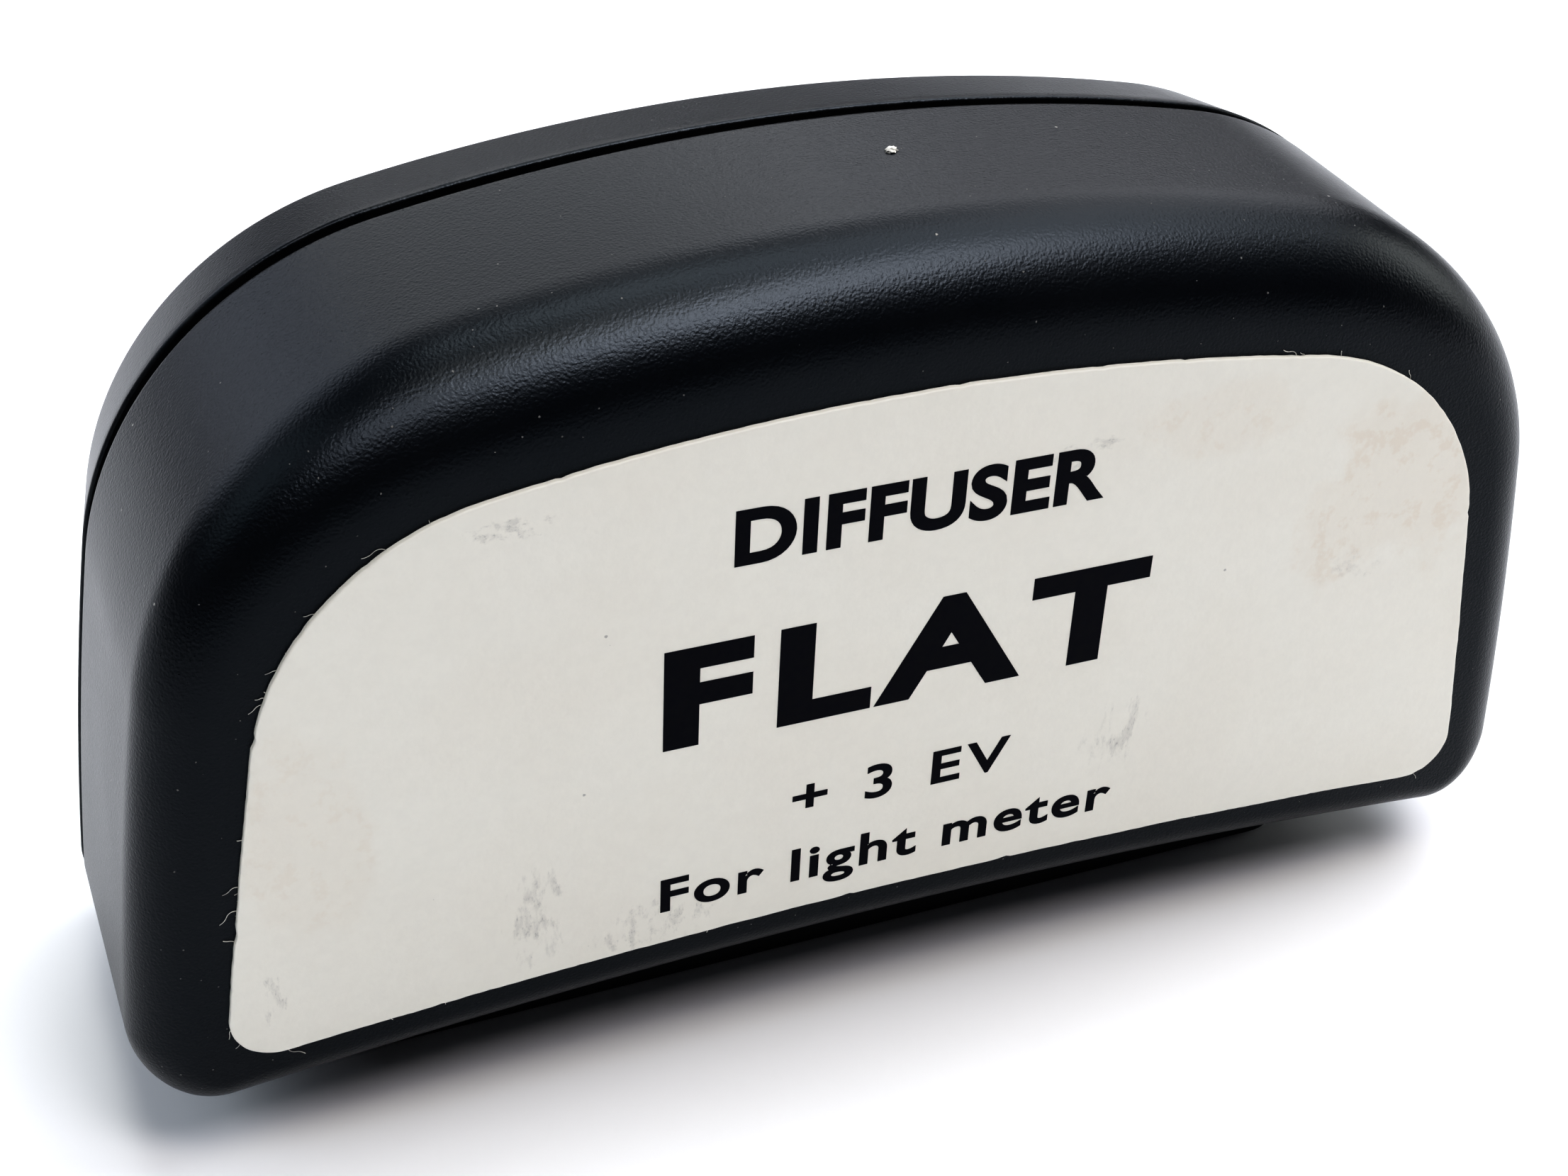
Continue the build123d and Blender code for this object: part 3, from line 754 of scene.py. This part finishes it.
def label_plate(name, finish):
    """Off-white label with a fine texture, stains, smudges and specks."""
    material, tree, shader, place = start_material(name, Specular_IOR_Level=0.35)
    cloud = mottle(tree, place, 9.0)
    ground = tint(tree, cloud, 0.10, finish.label, finish.stain)
    ground = tint(tree, mottle(tree, place, 0.5), 0.03, ground, finish.smudge)
    for centre, reach, share in LABEL_STAINS:
        patch = smudge(tree, place, centre, reach, (0.25, 0.25, 0.25), 1.6)
        ground = tint(tree, patch, share, ground, finish.stain)
    for centre, reach, streak, cover, share in LABEL_SMUDGES:
        patch = smudge(tree, place, centre, reach, streak, cover)
        ground = tint(tree, patch, share, ground, finish.smudge)
    ground = tint(tree, settled_dust(tree, place, 3.1, 0.09, 0.5), 0.6, ground, finish.smudge)
    ground = tint(tree, settled_dust(tree, place, 1.3, 0.045, 0.4), 0.5, ground, finish.smudge)
    grain = eroded_grain(tree, place, 0.28)
    set_surface(tree, shader, ground, vary(tree, 0.42, cloud, 0.10), grain["Height"], 0.006 * MM)
    return material


def printed_ink(name, finish):
    """Dark print with a slightly uneven film."""
    return plain_finish(name, (finish.ink, finish.rubbed), (0.35, 0.4), (0.42, 0.15), grain=(0.28, 0.003),
                        Specular_IOR_Level=0.05)


def opal_acrylic(name, finish):
    """Milky acrylic that light sinks into."""
    return plain_finish(name, (finish.opal, finish.stain), (5.0, 0.12), (0.38, 0.12), grain=(0.07, 0.0015),
                        dust=(2.2, 0.05, 0.5, 0.5, finish.smudge), Subsurface_Weight=0.35,
                        Subsurface_Scale=0.0015, Specular_IOR_Level=0.5)


def satin_white(name, finish):
    """White plastic of the mixing chamber."""
    return plain_finish(name, (finish.white, finish.stain), (4.0, 0.15), (0.55, 0.1), grain=(0.12, 0.004),
                        Specular_IOR_Level=0.4)


def grey_filter(name, finish):
    """Neutral grey film plate."""
    return plain_finish(name, (finish.grey, finish.smudge), (8.0, 0.08), (0.12, 0.06),
                        Specular_IOR_Level=0.5)


def clear_acrylic(name, finish):
    """Clear plate with light haze and dust."""
    return plain_finish(name, (finish.clear, finish.clear), (3.0, 0.0), (0.03, 0.06),
                        dust=(1.8, 0.05, 0.5, 0.7, finish.dust), Transmission_Weight=1.0, IOR=1.49)


def silvered_glass(name, finish):
    """Front-silvered mirror."""
    return plain_finish(name, (finish.clear, finish.steel), (6.0, 0.1), (0.02, 0.05), Metallic=1.0)


def lint(name, finish):
    """Pale textile fluff."""
    return plain_finish(name, (finish.dust, finish.label), (0.8, 1.0), (0.7, 0.2), Specular_IOR_Level=0.2,
                        Sheen_Weight=0.3)


def bare_steel(name, finish):
    """Drawn and turned steel with fine lines."""
    material, tree, shader, place = start_material(name, Metallic=1.0)
    stretched = add(tree, "ShaderNodeMapping", {"Vector": place, "Scale": (9.0, 0.6, 0.6)})
    lines = clouds(tree, stretched.outputs[0], 3.0, 3.0)["Fac"]
    tone = tint(tree, mottle(tree, place, 1.5), 0.35, finish.steel, finish.grey)
    set_surface(tree, shader, tone, vary(tree, 0.22, lines, 0.18), lines, 0.001 * MM)
    return material


def blackened_steel(name, finish):
    """Black oxide of the screws, bright where the driver has slipped."""
    material, tree, shader, place = start_material(name, Metallic=0.85)
    cloud = mottle(tree, place, 0.5)
    tone = tint(tree, maths(tree, "POWER", cloud, 3.0), 0.25, finish.foam, finish.steel)
    grain = eroded_grain(tree, place, 0.06)
    set_surface(tree, shader, tone, vary(tree, 0.28, cloud, 0.2), grain["Height"], 0.001 * MM)
    return material


def black_foam(name, finish):
    """Open-celled foam of the light traps."""
    material, tree, shader, place = start_material(name, Specular_IOR_Level=0.1)
    cells = add(tree, "ShaderNodeTexVoronoi", {"Vector": place, "Scale": 5.0}).outputs["Distance"]
    cloud = mottle(tree, place, 1.2)
    tone = tint(tree, cloud, 0.3, finish.foam, finish.rubbed)
    set_surface(tree, shader, tone, vary(tree, 0.85, cloud, 0.1), cells, 0.06 * MM)
    return material


def pale_floor(name, finish):
    """Plain white card that fades into the background and is open from below."""
    material, tree, shader, place = start_material(name, Specular_IOR_Level=0.1,
                                                   Emission_Color=(1.0, 1.0, 1.0, 1.0))
    seen = add(tree, "ShaderNodeLightPath").outputs["Is Camera Ray"]
    behind = add(tree, "ShaderNodeNewGeometry").outputs["Backfacing"]
    faded = ramp_between(tree, length_of(tree, place), 90.0, 450.0)
    fill(tree, shader.inputs, {"Emission Strength": times(tree, faded, seen),
                               "Alpha": maths(tree, "SUBTRACT", 1.0, behind)})
    cloud = mottle(tree, place, 60.0)
    tone = tint(tree, cloud, 0.02, finish.floor, finish.label)
    set_surface(tree, shader, tone, vary(tree, 0.8, cloud, 0.05))
    return material


# ---------------------------------------------------------------- pieces
def front_edge_rounds(ring, shell):
    """Radius of the front edge at each vert of the body's ring."""
    found = []
    for normal in ring_normals(ring):
        middle = shell.top_round if normal.z > 0 else shell.foot_round
        found.append(shell.side_round + (middle - shell.side_round) * normal.z ** 2)
    return found


def front_shell_sections(shell):
    """Skin of the front shell, from the front face over the rim to the inside of the front wall."""
    front = shell_low.y
    seam = shell_high.y
    rim = shell.rim_round
    quarter = [pi / 2 * step / 14 for step in range(15)]
    rows = [(HOLD, front, 1, 0, 0)]
    rows += [(0, front, 1 - sin(t), 1 - cos(t), 0) for t in quarter]
    rows += [(0, front + HOLD, 0, 1, 0), (0, seam - rim - 2 * HOLD, 0, 0, 0)]
    rows += [(0, seam - rim - 0.1 * MM, 0, 0, 0.4)]
    rows += [(rim * (1 - cos(t)), seam - rim * (1 - sin(t)), 0, 0, 1) for t in quarter[1::4]]
    rows += [(rim + 0.1 * MM, seam, 0, 0, 0.3), (shell.wall, seam, 0, 0, 0)]
    rows += [(shell.wall * sin(t), front + shell.wall * cos(t), 1 - sin(t), 1 - cos(t), 0)
             for t in reversed(quarter[::2])]
    return rows


def cover_sections(shell):
    """Skin of the rear cover, from the rear face over the rim and the tongue to the inside."""
    rear = cover_high.y
    rim_y = gasket_high.y
    inside = rear - shell.rear_wall
    slant = shell.cover_taper
    large = shell.cover_round
    small = shell.rim_round

    def arc(radius, centre_y, angle):
        centre_inset = (radius + sin(slant) * (centre_y - rim_y)) / cos(slant)
        return centre_inset - radius * cos(angle), centre_y + radius * sin(angle)

    rear_arc = [arc(large, rear - large, radians(90) + (slant - radians(90)) * k / 10) for k in range(11)]
    rim_arc = [arc(small, rim_y + small, slant - (slant + radians(90)) * k / 4) for k in range(5)]
    rows = [(rear_arc[0][0] + HOLD, rear, 0, 0, 0)]
    rows += [(inset, y, 0, 0, 0.5) for inset, y in rear_arc]
    rows += [(tan(slant) * (y - rim_y), y, 0, 0, 0) for y in (rear - 2 * large, rim_y + 2 * HOLD)]
    rows += [(inset, y, 0, 0, 1) for inset, y in rim_arc]
    tongue_out = shell.wall + shell.fit
    tongue_in = tongue_out + shell.tongue
    rows += [(tongue_out, rim_y, 0, 0, 0), (tongue_out, cover_low.y, 0, 0, 0)]
    rows += [(tongue_in, cover_low.y, 0, 0, 0), (tongue_in, inside, 0, 0, 0)]
    return rows


class DIFFUSER_OT_front_shell(bpy.types.Operator):
    """Build the front shell with its screw bosses, ribs and the passage for the plug"""
    bl_idname = "diffuser.front_shell"
    bl_label = "Front Shell"

    def execute(self, context):
        shell = context.scene.diffuser_shell
        places, tip, _ = screw_places()
        window_z = (window_low.z + window_high.z) / 2
        floor_y = shell_low.y + shell.wall / 2
        rib_end = POST_ENDS[1] - 0.2 * MM
        bm = outlined_mesh()
        ring = draw_outline(bm, context.scene.diffuser_body, shell_high.z, ARC_STEPS)
        loft_sections(bm, ring, front_shell_sections(shell), front_edge_rounds(ring, shell))
        posts = bmesh.new()
        for place in places:
            add_pins(posts, [place], floor_y, POST_ENDS[place[1] > window_z], shell.boss)
        for side in (1, -1):
            rib = Vector((side * (chamber_high.x + RIB_OUT), 0, window_z))
            add_block(posts, rib - RIB_HALF + Vector((0, floor_y, 0)),
                      rib + RIB_HALF + Vector((0, rib_end, 0)))
        bm = carve(bm, posts, "UNION")
        bores = bmesh.new()
        add_pins(bores, places, tip - SPARE_BORE, shell_high.y, shell.thread_bore)
        bm = carve(bm, bores)
        bm = carve(bm, passage_tool(shell))
        finish_piece(bm, "front_shell_skin", body_plastic, ["front_shell"])
        return {"FINISHED"}


class DIFFUSER_OT_rear_cover(bpy.types.Operator):
    """Build the rear cover with its window opening, screw pockets and pillars"""
    bl_idname = "diffuser.rear_cover"
    bl_label = "Rear Cover"

    def execute(self, context):
        shell = context.scene.diffuser_shell
        fitting = context.scene.diffuser_fittings
        places, _, head = screw_places()
        rear = cover_high.y
        inside = rear - shell.rear_wall
        bm = outlined_mesh()
        ring = draw_outline(bm, context.scene.diffuser_body, shell_high.z, ARC_STEPS)
        loft_sections(bm, ring, cover_sections(shell), [0] * len(ring))
        posts = bmesh.new()
        add_pins(posts, places, POST_ENDS[1] + 0.1 * MM, inside + MM / 2, shell.boss)
        bm = carve(bm, posts, "UNION")
        lip = Vector((fitting.window_lip, 0, fitting.window_lip))
        gap = Vector((fitting.window_gap, 0, fitting.window_gap))
        past = Vector((0, MM, 0))
        tool = bmesh.new()
        add_pins(tool, places, 0, rear + MM, shell.shank_bore)
        bm = carve(bm, tool)
        tool = bmesh.new()
        add_pins(tool, places, head - fitting.head_height, rear + MM, shell.head_pocket, 64)
        add_block(tool, window_low + lip - gap - past, window_high - lip + gap + past,
                  OPENING_CORNERS[1], axis=1)
        bm = carve(bm, tool)
        tool = bmesh.new()
        step = Vector((window_high.x, inside + fitting.window_step, window_high.z))
        add_block(tool, window_low - gap - past, step + gap, OPENING_CORNERS[0], axis=1)
        bm = carve(bm, tool)
        flat = rear - 0.01 * MM
        bevel_where(bm, lambda co: co.y > flat and abs(co.x) < window_high.x
                    and window_low.z < co.z < window_high.z, 0.3 * MM)
        reach = 1.1 * shell.head_pocket
        for x, z in places:
            bevel_where(bm, lambda co: co.y > flat and (co - Vector((x, co.y, z))).length < reach,
                        0.1 * MM, 2)
        bm = carve(bm, passage_tool(shell))
        finish_piece(bm, "rear_cover_skin", body_plastic, ["rear_cover"])
        return {"FINISHED"}


class DIFFUSER_OT_label(bpy.types.Operator):
    """Build the label with its unevenly cut edge"""
    bl_idname = "diffuser.label"
    bl_label = "Label"

    def execute(self, context):
        form = context.scene.diffuser_label
        bm = outlined_mesh()
        ring = draw_outline(bm, form, label_high.z, LABEL_STEPS)
        cuts = []
        for vert in ring:
            place = vert.co / MM
            waver = form.waver * (0.6 * noise.noise(place * 0.35) + 0.5 * noise.noise(place * 1.7))
            nick = form.nick * max(0.0, noise.noise(place * 1.1 + Vector((7, 3, 5))) - 0.38)
            cuts.append(waver + nick)
        edge = form.edge_round
        quarter = [pi / 2 * step / 3 for step in range(4)]
        rows = [(edge + HOLD / 4, label_low.y, 1, 0, 0)]
        rows += [(edge * (1 - sin(t)), label_low.y + edge * (1 - cos(t)), 1, 0, 1) for t in quarter]
        rows += [(0, label_high.y, 1, 0, 0)]
        loft_sections(bm, ring, rows, cuts)
        finish_piece(bm, "label_sheet", label_plate, ["front_label"])
        return {"FINISHED"}


def print_line(name, words, box, bold, spacing, ink_height):
    """Line of print on the label, fitted to a box (left, right, base, top)."""
    curve = bpy.data.curves.new(name, "FONT")
    curve.body = words
    curve.offset = bold
    curve.space_character = spacing
    curve.extrude = 0.5
    curve.resolution_u = 8
    item = add_object(name, curve)
    drawn = bpy.data.meshes.new_from_object(item.evaluated_get(bpy.context.evaluated_depsgraph_get()))
    bm = bmesh.new()
    bm.from_mesh(drawn)
    bpy.data.meshes.remove(drawn)
    bpy.data.curves.remove(curve)
    bmesh.ops.remove_doubles(bm, verts=bm.verts, dist=1e-5)
    left, right, base, top = box
    xs = [v.co.x for v in bm.verts]
    ys = [v.co.y for v in bm.verts]
    sink = 0.04 * MM
    wide = (right - left) / (max(xs) - min(xs))
    tall = (top - base) / (max(ys) - min(ys))
    bmesh.ops.translate(bm, vec=(-min(xs), -min(ys), 0), verts=bm.verts)
    bmesh.ops.scale(bm, vec=(wide, tall, ink_height + sink), verts=bm.verts)
    rotate(bm, 90, "X", bm.verts)
    bmesh.ops.translate(bm, vec=(left, label_low.y + (sink - ink_height) / 2, base), verts=bm.verts)
    bmesh.ops.recalc_face_normals(bm, faces=bm.faces)
    finish_piece(bm, name, printed_ink)


class DIFFUSER_OT_lettering(bpy.types.Operator):
    """Print the four lines of the label"""
    bl_idname = "diffuser.lettering"
    bl_label = "Lettering"

    def execute(self, context):
        words = context.scene.diffuser_print
        for field, box, bold, spacing in LINES:
            sides = [side * MM for side in box]
            print_line("print_" + field, getattr(words, field), sides, bold, spacing, words.ink)
        return {"FINISHED"}


class DIFFUSER_OT_windows(bpy.types.Operator):
    """Build the opal window and the clear exit window"""
    bl_idname = "diffuser.windows"
    bl_label = "Windows"

    def execute(self, context):
        fitting = context.scene.diffuser_fittings
        lip = Vector((fitting.window_lip, 0, fitting.window_lip))
        step_y = window_low.y + fitting.window_step
        bm = bmesh.new()
        add_block(bm, window_low, Vector((window_high.x, step_y, window_high.z)),
                  WINDOW_CORNERS[0], 0.1 * MM, 1)
        plate = bmesh.new()
        add_block(plate, window_low + lip, window_high - lip, WINDOW_CORNERS[1], 0.25 * MM, 1)
        bm = carve(bm, plate, "UNION")
        finish_piece(bm, "opal_window", opal_acrylic, ["diffuser_window"])
        low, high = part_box("exit_window")
        bm = bmesh.new()
        add_block(bm, low, high, 0.9 * MM, 0.12 * MM, 2)
        finish_piece(bm, "clear_exit_window", clear_acrylic, ["exit_window"])
        return {"FINISHED"}


class DIFFUSER_OT_plug(bpy.types.Operator):
    """Skin the mounting plug and soften its edges"""
    bl_idname = "diffuser.plug"
    bl_label = "Mounting Plug"

    def execute(self, context):
        bm = merged_copy("mount_plug")
        bmesh.ops.dissolve_limit(bm, angle_limit=radians(0.5), verts=bm.verts, edges=bm.edges)
        crisp = [e for e in bm.edges if e.calc_face_angle(0) > radians(35)
                 and max(v.co.z for v in e.verts) < PLUG_SHOWN
                 and min(abs(v.co.y) for v in e.verts) > PLUG_SKIN]
        bevel(bm, crisp, 0.1 * MM, 2, clamp=True)
        finish_piece(bm, "mount_plug_skin", plug_plastic, ["mount_plug"])
        return {"FINISHED"}


class DIFFUSER_OT_screws(bpy.types.Operator):
    """Build the four cover screws with their cross recesses"""
    bl_idname = "diffuser.screws"
    bl_label = "Cover Screws"

    def execute(self, context):
        fitting = context.scene.diffuser_fittings
        places, tip, head = screw_places()
        seat = head - fitting.head_height
        bm = bmesh.new()
        shank = fitting.shank
        crown = 0.35 * MM
        recess_depth = 0.7 * MM
        taper = (0.55, 1, 0.8)
        profile = [(0, tip, 0), (shank * 0.6, tip, 0), (shank, tip + 0.5 * MM, 0), (shank, seat, 0),
                   (fitting.head, seat, 0), (fitting.head, head - crown, 0)]
        profile += [(fitting.head - crown * (1 - cos(t)), head - crown * (1 - sin(t)), 0)
                    for t in (pi / 8, pi / 4, 3 * pi / 8, pi / 2)]
        profile += [(0, head, 0)]
        lathe(bm, profile, (0, 0, 0), (0, 1, 0), 64)
        for turned in (0, 90):
            bar = bmesh.new()
            half = Vector((fitting.recess / 2, 0, fitting.recess_width / 2))
            add_block(bar, Vector((0, head - recess_depth, 0)) - half, Vector((0, head + MM, 0)) + half)
            foot = [v for v in bar.verts if v.co.y < head]
            bmesh.ops.scale(bar, vec=taper, verts=foot)
            rotate(bar, turned, "Y", bar.verts)
            bm = carve(bm, bar)
        single = mesh_from(bm, "screw")
        every = bmesh.new()
        for number, (x, z) in enumerate(places):
            before = set(every.verts)
            every.from_mesh(single)
            fresh = [v for v in every.verts if v not in before]
            rotate(every, 23 + 61 * number, "Y", fresh)
            bmesh.ops.translate(every, vec=(x, 0, z), verts=fresh)
        bpy.data.meshes.remove(single)
        finish_piece(every, "cover_screw_set", blackened_steel, ["cover_screws"])
        return {"FINISHED"}


class DIFFUSER_OT_detents(bpy.types.Operator):
    """Build the two sprung plungers in the ends of the plug"""
    bl_idname = "diffuser.detents"
    bl_label = "Detents"

    def execute(self, context):
        fitting = context.scene.diffuser_fittings
        for side, hand in ((1, "right"), (-1, "left")):
            low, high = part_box(f"detent_plunger_{hand}")
            z = (low.z + high.z) / 2
            waist = (high.z - low.z) / 2
            tail, tip = sorted((abs(low.x), abs(high.x)))
            shoulder = tip - NOSE_LENGTH
            nose = fitting.nose
            profile = [(tail, 0), (tail, waist - 0.1 * MM), (tail + 0.1 * MM, waist), (shoulder, waist),
                       (shoulder, nose)]
            quarter = [pi / 2 * step / 10 for step in range(11)]
            profile += [(tip - nose + nose * sin(t), nose * cos(t)) for t in quarter]
            bm = bmesh.new()
            lathe(bm, [(side * x, 0, z + r) for x, r in profile], (0, 0, z), (1, 0, 0))
            finish_piece(bm, f"plunger_{hand}", bare_steel, [f"detent_plunger_{hand}"],
                         body=f"plunger_{hand}")
            low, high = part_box(f"detent_spring_{hand}")
            near, far = sorted((abs(low.x), abs(high.x)))
            steps = int(24 * fitting.spring_turns)
            bm = bmesh.new()
            place = Matrix.Translation((side * (near + fitting.wire), 0, z + fitting.spring))
            bmesh.ops.create_circle(bm, segments=10, radius=fitting.wire, matrix=place)
            pitch = Vector((side * (far - near - 2 * fitting.wire) / steps, 0, 0))
            bmesh.ops.spin(bm, geom=bm.verts[:] + bm.edges[:], cent=(0, 0, z), axis=(1, 0, 0), dvec=pitch,
                           angle=2 * pi * fitting.spring_turns, steps=steps)
            close_ends(bm)
            piece = finish_piece(bm, f"coil_{hand}", bare_steel, [f"detent_spring_{hand}"])
            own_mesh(piece)
        return {"FINISHED"}


INNER_PARTS = {
    satin_white: ["light_box"],
    silvered_glass: ["deflecting_mirror"],
    bare_steel: ["mirror_clip_right", "mirror_clip_left"],
    grey_filter: ["neutral_filter"],
    plug_plastic: ["diffuser_retainer", "spring_cap_right", "spring_cap_left"],
    black_foam: ["seam_gasket", "window_gasket", "tube_gasket"],
}


class DIFFUSER_OT_inside(bpy.types.Operator):
    """Give the parts inside the body their finishes"""
    bl_idname = "diffuser.inside"
    bl_label = "Inner Parts"

    def execute(self, context):
        for build, nodes in INNER_PARTS.items():
            for node in nodes:
                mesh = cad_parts[node].data
                mesh.materials.clear()
                mesh.materials.append(material_once(build))
        return {"FINISHED"}


def add_fibre(bm, start, heading, radius, angle, thickness):
    """Curled fibre in a plane across the body: two arcs that bend opposite ways."""
    along = Vector((cos(heading), 0, sin(heading)))
    place = Matrix.Translation(start) @ along.to_track_quat("Z", "Y").to_matrix().to_4x4()
    ring = bmesh.ops.create_circle(bm, segments=5, radius=thickness, matrix=place)["verts"]
    geom = ring + list({e for v in ring for e in v.link_edges})
    for side in (1, -1):
        across = side * Vector((-along.z, 0, along.x))
        centre = start + radius * across
        axis = along.cross(across)
        geom = bmesh.ops.spin(bm, geom=geom, cent=centre, axis=axis, angle=angle, steps=7)["geom_last"]
        swing = Matrix.Rotation(angle, 3, axis)
        start = centre + swing @ (start - centre)
        along = swing @ along
        radius *= 1.7
        angle *= 0.45


class DIFFUSER_OT_lint(bpy.types.Operator):
    """Leave fibres round the label's edge and a flake on the top"""
    bl_idname = "diffuser.lint"
    bl_label = "Lint"

    def execute(self, context):
        draw = random.Random(11)
        bm = bmesh.new()
        probe = bmesh.new()
        ring = draw_outline(probe, context.scene.diffuser_label, label_high.z, LABEL_STEPS)
        normals = ring_normals(ring)
        tries = 120
        for _ in range(tries):
            i = draw.randrange(len(ring))
            fuzzy = ring[i].co.x < -20 * MM or abs(ring[i].co.x) > 27 * MM
            if draw.random() > (0.75 if fuzzy else 0.12):
                continue
            outward = normals[i]
            start = ring[i].co - 0.1 * MM * outward
            start.y = shell_low.y - 0.05 * MM
            heading = atan2(outward.z, outward.x) + draw.uniform(-1.1, 1.1)
            add_fibre(bm, start, heading, draw.uniform(0.12, 0.4) * MM, draw.uniform(0.5, 1.8),
                      draw.uniform(0.011, 0.019) * MM)
        probe.free()
        close_ends(bm)
        finish_piece(bm, "lint_fibres", lint)
        bm = bmesh.new()
        flake = bmesh.ops.create_icosphere(bm, subdivisions=3, radius=1)["verts"]
        for vert in flake:
            vert.co *= 1 + 0.45 * noise.noise(vert.co * 1.9) + 0.2 * noise.noise(vert.co * 5)
        bmesh.ops.scale(bm, vec=Vector((0.30, 0.24, 0.14)) * MM, verts=flake)
        rotate(bm, 35, "Z", flake)
        bmesh.ops.translate(bm, vec=Vector((2.1, -0.1, 0)) * MM + Vector((0, 0, shell_high.z)), verts=flake)
        finish_piece(bm, "flake", lint)
        return {"FINISHED"}


# ---------------------------------------------------------------- stage
def add_panel(stage, name, compass, height, width, radiance, tint):
    """Round area light that faces the body."""
    light = bpy.data.lights.new(name, "AREA")
    light.shape = "DISK"
    light.size = width
    light.energy = radiance * stage.panel_gain * (pi * width / 2) ** 2
    light.color = tint
    turn_round = radians(compass)
    rise = radians(height)
    away = Vector((sin(turn_round) * cos(rise), cos(turn_round) * cos(rise), sin(rise)))
    item = add_object(name, light)
    item.location = CAD_MIDDLE + away * stage.panel_distance
    item.rotation_euler = (-away).to_track_quat("-Z", "Y").to_euler()
    item.visible_camera = False
    item.visible_diffuse = not name.startswith("glint")


class DIFFUSER_OT_stage(bpy.types.Operator):
    """Set the camera, the soft lights and the floor"""
    bl_idname = "diffuser.stage"
    bl_label = "Stage"

    def execute(self, context):
        scene = context.scene
        stage = scene.diffuser_stage
        camera = bpy.data.cameras.new("Camera")
        camera.lens = stage.lens
        camera.clip_start = 1 * MM
        scene.camera = add_object("Camera", camera)
        scene.camera.location = stage.camera_place
        scene.camera.rotation_euler = stage.camera_turn
        bm = bmesh.new()
        bmesh.ops.create_grid(bm, x_segments=2, y_segments=2, size=stage.floor_size / 2)
        floor = add_object("floor", mesh_from(bm, "floor"))
        floor.data.materials.append(material_once(pale_floor))
        world = bpy.data.worlds.new("Sky")
        world.use_nodes = True
        tree = world.node_tree
        even = tree.nodes["Background"]
        even.inputs["Color"].default_value = (0.93, 0.95, 1.0, 1)
        even.inputs["Strength"].default_value = stage.sky
        white = add(tree, "ShaderNodeBackground", {"Color": (1, 1, 1, 1), "Strength": 1.0})
        path = add(tree, "ShaderNodeLightPath")
        mix = add(tree, "ShaderNodeMixShader", {0: path.outputs["Is Camera Ray"], 1: even.outputs[0],
                                                2: white.outputs[0]})
        tree.links.new(mix.outputs[0], tree.nodes["World Output"].inputs["Surface"])
        scene.world = world
        scene.view_settings.view_transform = "Standard"
        scene.view_settings.look = "High Contrast"
        for panel in PANELS:
            add_panel(stage, *panel)
        return {"FINISHED"}


# ---------------------------------------------------------------- add-on
STEPS = (
    DIFFUSER_OT_front_shell, DIFFUSER_OT_rear_cover, DIFFUSER_OT_label, DIFFUSER_OT_lettering,
    DIFFUSER_OT_windows, DIFFUSER_OT_plug, DIFFUSER_OT_screws, DIFFUSER_OT_detents, DIFFUSER_OT_inside,
    DIFFUSER_OT_lint, DIFFUSER_OT_stage,
)
SETTINGS = {
    "diffuser_body": BodyOutline, "diffuser_label": LabelOutline, "diffuser_shell": ShellSizes,
    "diffuser_fittings": FittingSizes, "diffuser_print": Print, "diffuser_finishes": Finishes,
    "diffuser_stage": Stage,
}


class DIFFUSER_PT_panel(bpy.types.Panel):
    """Settings and building steps of the flat diffuser"""
    bl_label = "Flat Diffuser"
    bl_idname = "DIFFUSER_PT_panel"
    bl_space_type = "VIEW_3D"
    bl_region_type = "UI"
    bl_category = "Diffuser"

    def draw(self, context):
        for key, group in SETTINGS.items():
            box = self.layout.box()
            box.label(text=group.__doc__)
            for field in group.__annotations__:
                box.prop(getattr(context.scene, key), field)
        for step in STEPS:
            self.layout.operator(step.bl_idname)


def register():
    """Register the classes and hang the settings on the scene."""
    for item in (*SETTINGS.values(), *STEPS, DIFFUSER_PT_panel):
        bpy.utils.register_class(item)
    for key, group in SETTINGS.items():
        setattr(bpy.types.Scene, key, PointerProperty(type=group))


def unregister():
    """Take the settings off the scene and unregister the classes."""
    for key in SETTINGS:
        delattr(bpy.types.Scene, key)
    for item in reversed((*SETTINGS.values(), *STEPS, DIFFUSER_PT_panel)):
        bpy.utils.unregister_class(item)


def main():
    """Build every piece and the stage."""
    register()
    for step in STEPS:
        family, name = step.bl_idname.split(".")
        getattr(getattr(bpy.ops, family), name)()


if __name__ == "__main__":
    main()
